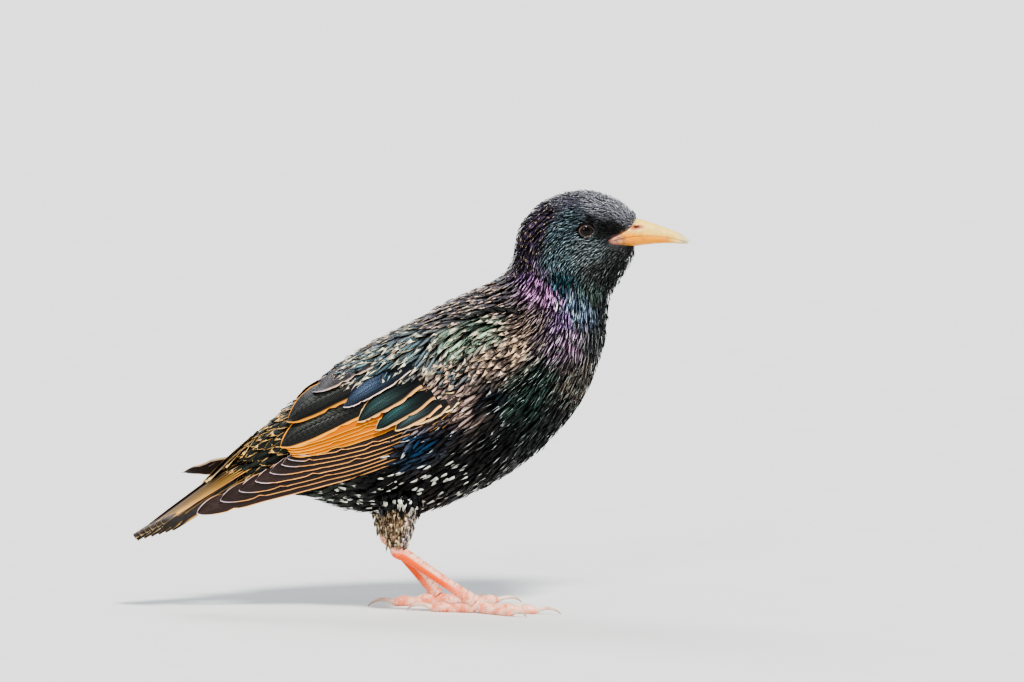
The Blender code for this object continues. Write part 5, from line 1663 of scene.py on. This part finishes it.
def make_shank_coat(leg):
    """Dark spotted feathers over the thigh, then short buff ones down to the ankle."""
    hip, ankle = on_side(leg.hip, leg.side), on_side(leg.ankle, leg.side)
    long = np.linalg.norm(ankle - hip)
    axis = (ankle - hip) / long
    rear = np.cross((0.0, 1.0, 0.0), axis)
    rear /= np.linalg.norm(rear)
    outer = np.cross(axis, rear)
    t, s = np.linspace(0, 1, FULL.rows)[:, None], np.linspace(-1, 1, FULL.columns)
    widths = rounded(t, 0.8, 0.35)
    points, angles, stops = [], [], []
    for row in range(SHANK_ROWS):
        share = SHANK_FIRST + SHANK_REACH * row / (SHANK_ROWS - 1)
        radius = np.interp(share, SHANK_STOPS, SHANK_RADII) - 0.5
        number = max(SHANK_LEAST, int(2 * math.pi * radius / SHANK_SPACING))
        for k in range(number):
            angle = 2 * math.pi * (k + 0.5 * (row % 2) + rng.uniform(-0.25, 0.25)) / number
            place, turn, height = shank_feather(share, angle, long, t, s, widths)
            outward = rear * np.cos(turn)[..., None] + outer * np.sin(turn)[..., None]
            spot = hip + axis * place[..., None] + outward * height[..., None]
            points.append(spot.reshape(-1, 3))
            angles.append(angle)
            stops.append(share)
    count, size = len(points), FULL.rows * FULL.columns
    angles, stops = np.array(angles), np.array(stops)
    faces = tile_faces(vane_faces(*FULL), count, size)
    piece = mesh_piece("coat_shank_" + leg.word, np.concatenate(points), faces, COAT)
    shade = np.exp(rng.normal(0, SHANK_SHADES, (count, 1)))
    thigh = stops < THIGH_END
    ahead = smooth(-np.cos(angles), 0.3, 0.9)[:, None] * rng.uniform(0, 1, (count, 1))
    tints = []
    for over_thigh, over_shank in zip(THIGH_TINTS, SHANK_TINTS):
        low = np.array(linear(over_shank))
        low = low + (np.array(linear(STREAK)) - low) * ahead
        tints.append(np.clip(np.where(thigh[:, None], linear(over_thigh), low) * shade, 0, 0.95))
    spotted = SPOT_DEPTH * (rng.uniform(0, 1, count) < SPOT_SHARE)
    depth = np.where(thigh, spotted, rng.uniform(*SHANK_TIPS, count).clip(0))
    marks = (np.full(count, SPOT_WIDTH), depth, np.zeros(count))
    sizes = np.outer(SHANK_SIZES, np.ones(count))
    wide = np.repeat(widths.T, count, axis=0)
    along, across = mark_feathers(piece.data, FULL, sizes, marks, tints, wide)
    root = np.stack((stops, (angles / (2 * math.pi) % 1.0) * 0.98 + 0.01), axis=1)
    bake_patches(piece.data, root, along, across, size)


# Studio

FLOOR_RADIUS, FLOOR_LEVEL = 40.0, -0.00005  # just under the feet
FLOOR_RINGS, FLOOR_SIDES = 24, 96
SKY, SKY_STRENGTH = (0.90, 0.93, 0.96), 0.7
Light = namedtuple("Light", "name place spread power colour")
LIGHTS = (
    Light("key", (0.30, -0.75, 1.1), 11.0, 4.6, (1.0, 0.97, 0.91)),
    Light("behind", (-0.5, 0.9, 1.0), 25.0, 1.2, (0.96, 0.98, 1.0)),
    Light("glint", (-0.27, -1.0, 0.49), 13.0, 0.5, (1.0, 1.0, 1.0)),
)
PIXEL = 0.33  # mm of the bird for one of the photo's pixels
PICTURE = (1024, 682)
FOOT_PIXEL = (411.5, 610)  # where the frame's origin shows in the photo
CAMERA_LENS, CAMERA_SENSOR = 300.0, 36.0


def make_floor():
    """A plain pale floor, so wide that it fills the picture."""
    reach = FLOOR_RADIUS * np.linspace(0.0, 1.0, FLOOR_RINGS)[:, None] ** 3 + 0.02
    turn = circle(FLOOR_SIDES)
    level = np.full((FLOOR_RINGS, FLOOR_SIDES), FLOOR_LEVEL)
    points = np.stack((reach * np.cos(turn), reach * np.sin(turn), level), axis=-1)
    faces = ring_faces(FLOOR_RINGS, FLOOR_SIDES).tolist() + [list(range(FLOOR_SIDES))]
    mesh = bpy.data.meshes.new("floor")
    mesh.from_pydata(points.reshape(-1, 3).tolist(), [], faces)
    shader = Shader("studio floor")
    colour = shader.mix(shader.noise(40.0, 3.0), rgba(0.86, 0.865, 0.86), rgba(0.89, 0.893, 0.89))
    shader.set(Base_Color=colour, Roughness=0.75)
    mesh.materials.append(shader.material)
    place_object("studio_floor", mesh)


def make_lights():
    """A pale sky, a wide soft key from above, a light behind and one for the eye."""
    world = bpy.data.worlds.new("studio")
    world.use_nodes = True
    sky = world.node_tree.nodes["Background"]
    sky.inputs["Color"].default_value = rgba(*SKY)
    sky.inputs["Strength"].default_value = SKY_STRENGTH
    bpy.context.scene.world = world
    bpy.context.scene.view_settings.look = "AgX - Medium High Contrast"
    for name, place, spread, power, colour in LIGHTS:
        light = bpy.data.lights.new(name, "SUN")
        light.angle = math.radians(spread)
        light.energy = power
        light.color = colour
        lamp = place_object(name, light)
        lamp.location = place
        lamp.rotation_euler = (-Vector(place)).to_track_quat("-Z", "Y").to_euler()


def make_camera():
    """A long lens far off, which looks a little down on the bird."""
    data = bpy.data.cameras.new("camera")
    data.lens = CAMERA_LENS
    data.sensor_width = CAMERA_SENSOR
    data.clip_end = 50.0
    distance = PICTURE[0] * PIXEL * MM * CAMERA_LENS / CAMERA_SENSOR
    middle_x = (PICTURE[0] / 2 - FOOT_PIXEL[0]) * PIXEL
    middle_z = (FOOT_PIXEL[1] - PICTURE[1] / 2) * PIXEL
    toward = Vector((0.0, -math.cos(VIEW_DROP), math.sin(VIEW_DROP)))
    camera = place_object("camera", data)
    camera.location = Vector((middle_x * MM, 0.0, middle_z * MM)) + toward * distance
    camera.rotation_euler = (math.pi / 2 - VIEW_DROP, 0.0, 0.0)
    bpy.context.scene.camera = camera


make_camera()
make_floor()
make_lights()
make_skin()
make_coat()
make_crease_shade()
for leg in LEGS:
    make_wing(leg)
    make_shank_coat(leg)
make_tail()
make_bill()
EYE, LID, LEG_SKIN, CLAW = eye_material(), lid_material(), leg_material(), claw_material()
for leg in LEGS:
    eye_at = eye_place(leg.side)
    make_eyeball(leg, eye_at, EYE)
    make_lid(leg, eye_at, LID)
    make_foot(leg, LEG_SKIN)
    make_claws(leg, CLAW)
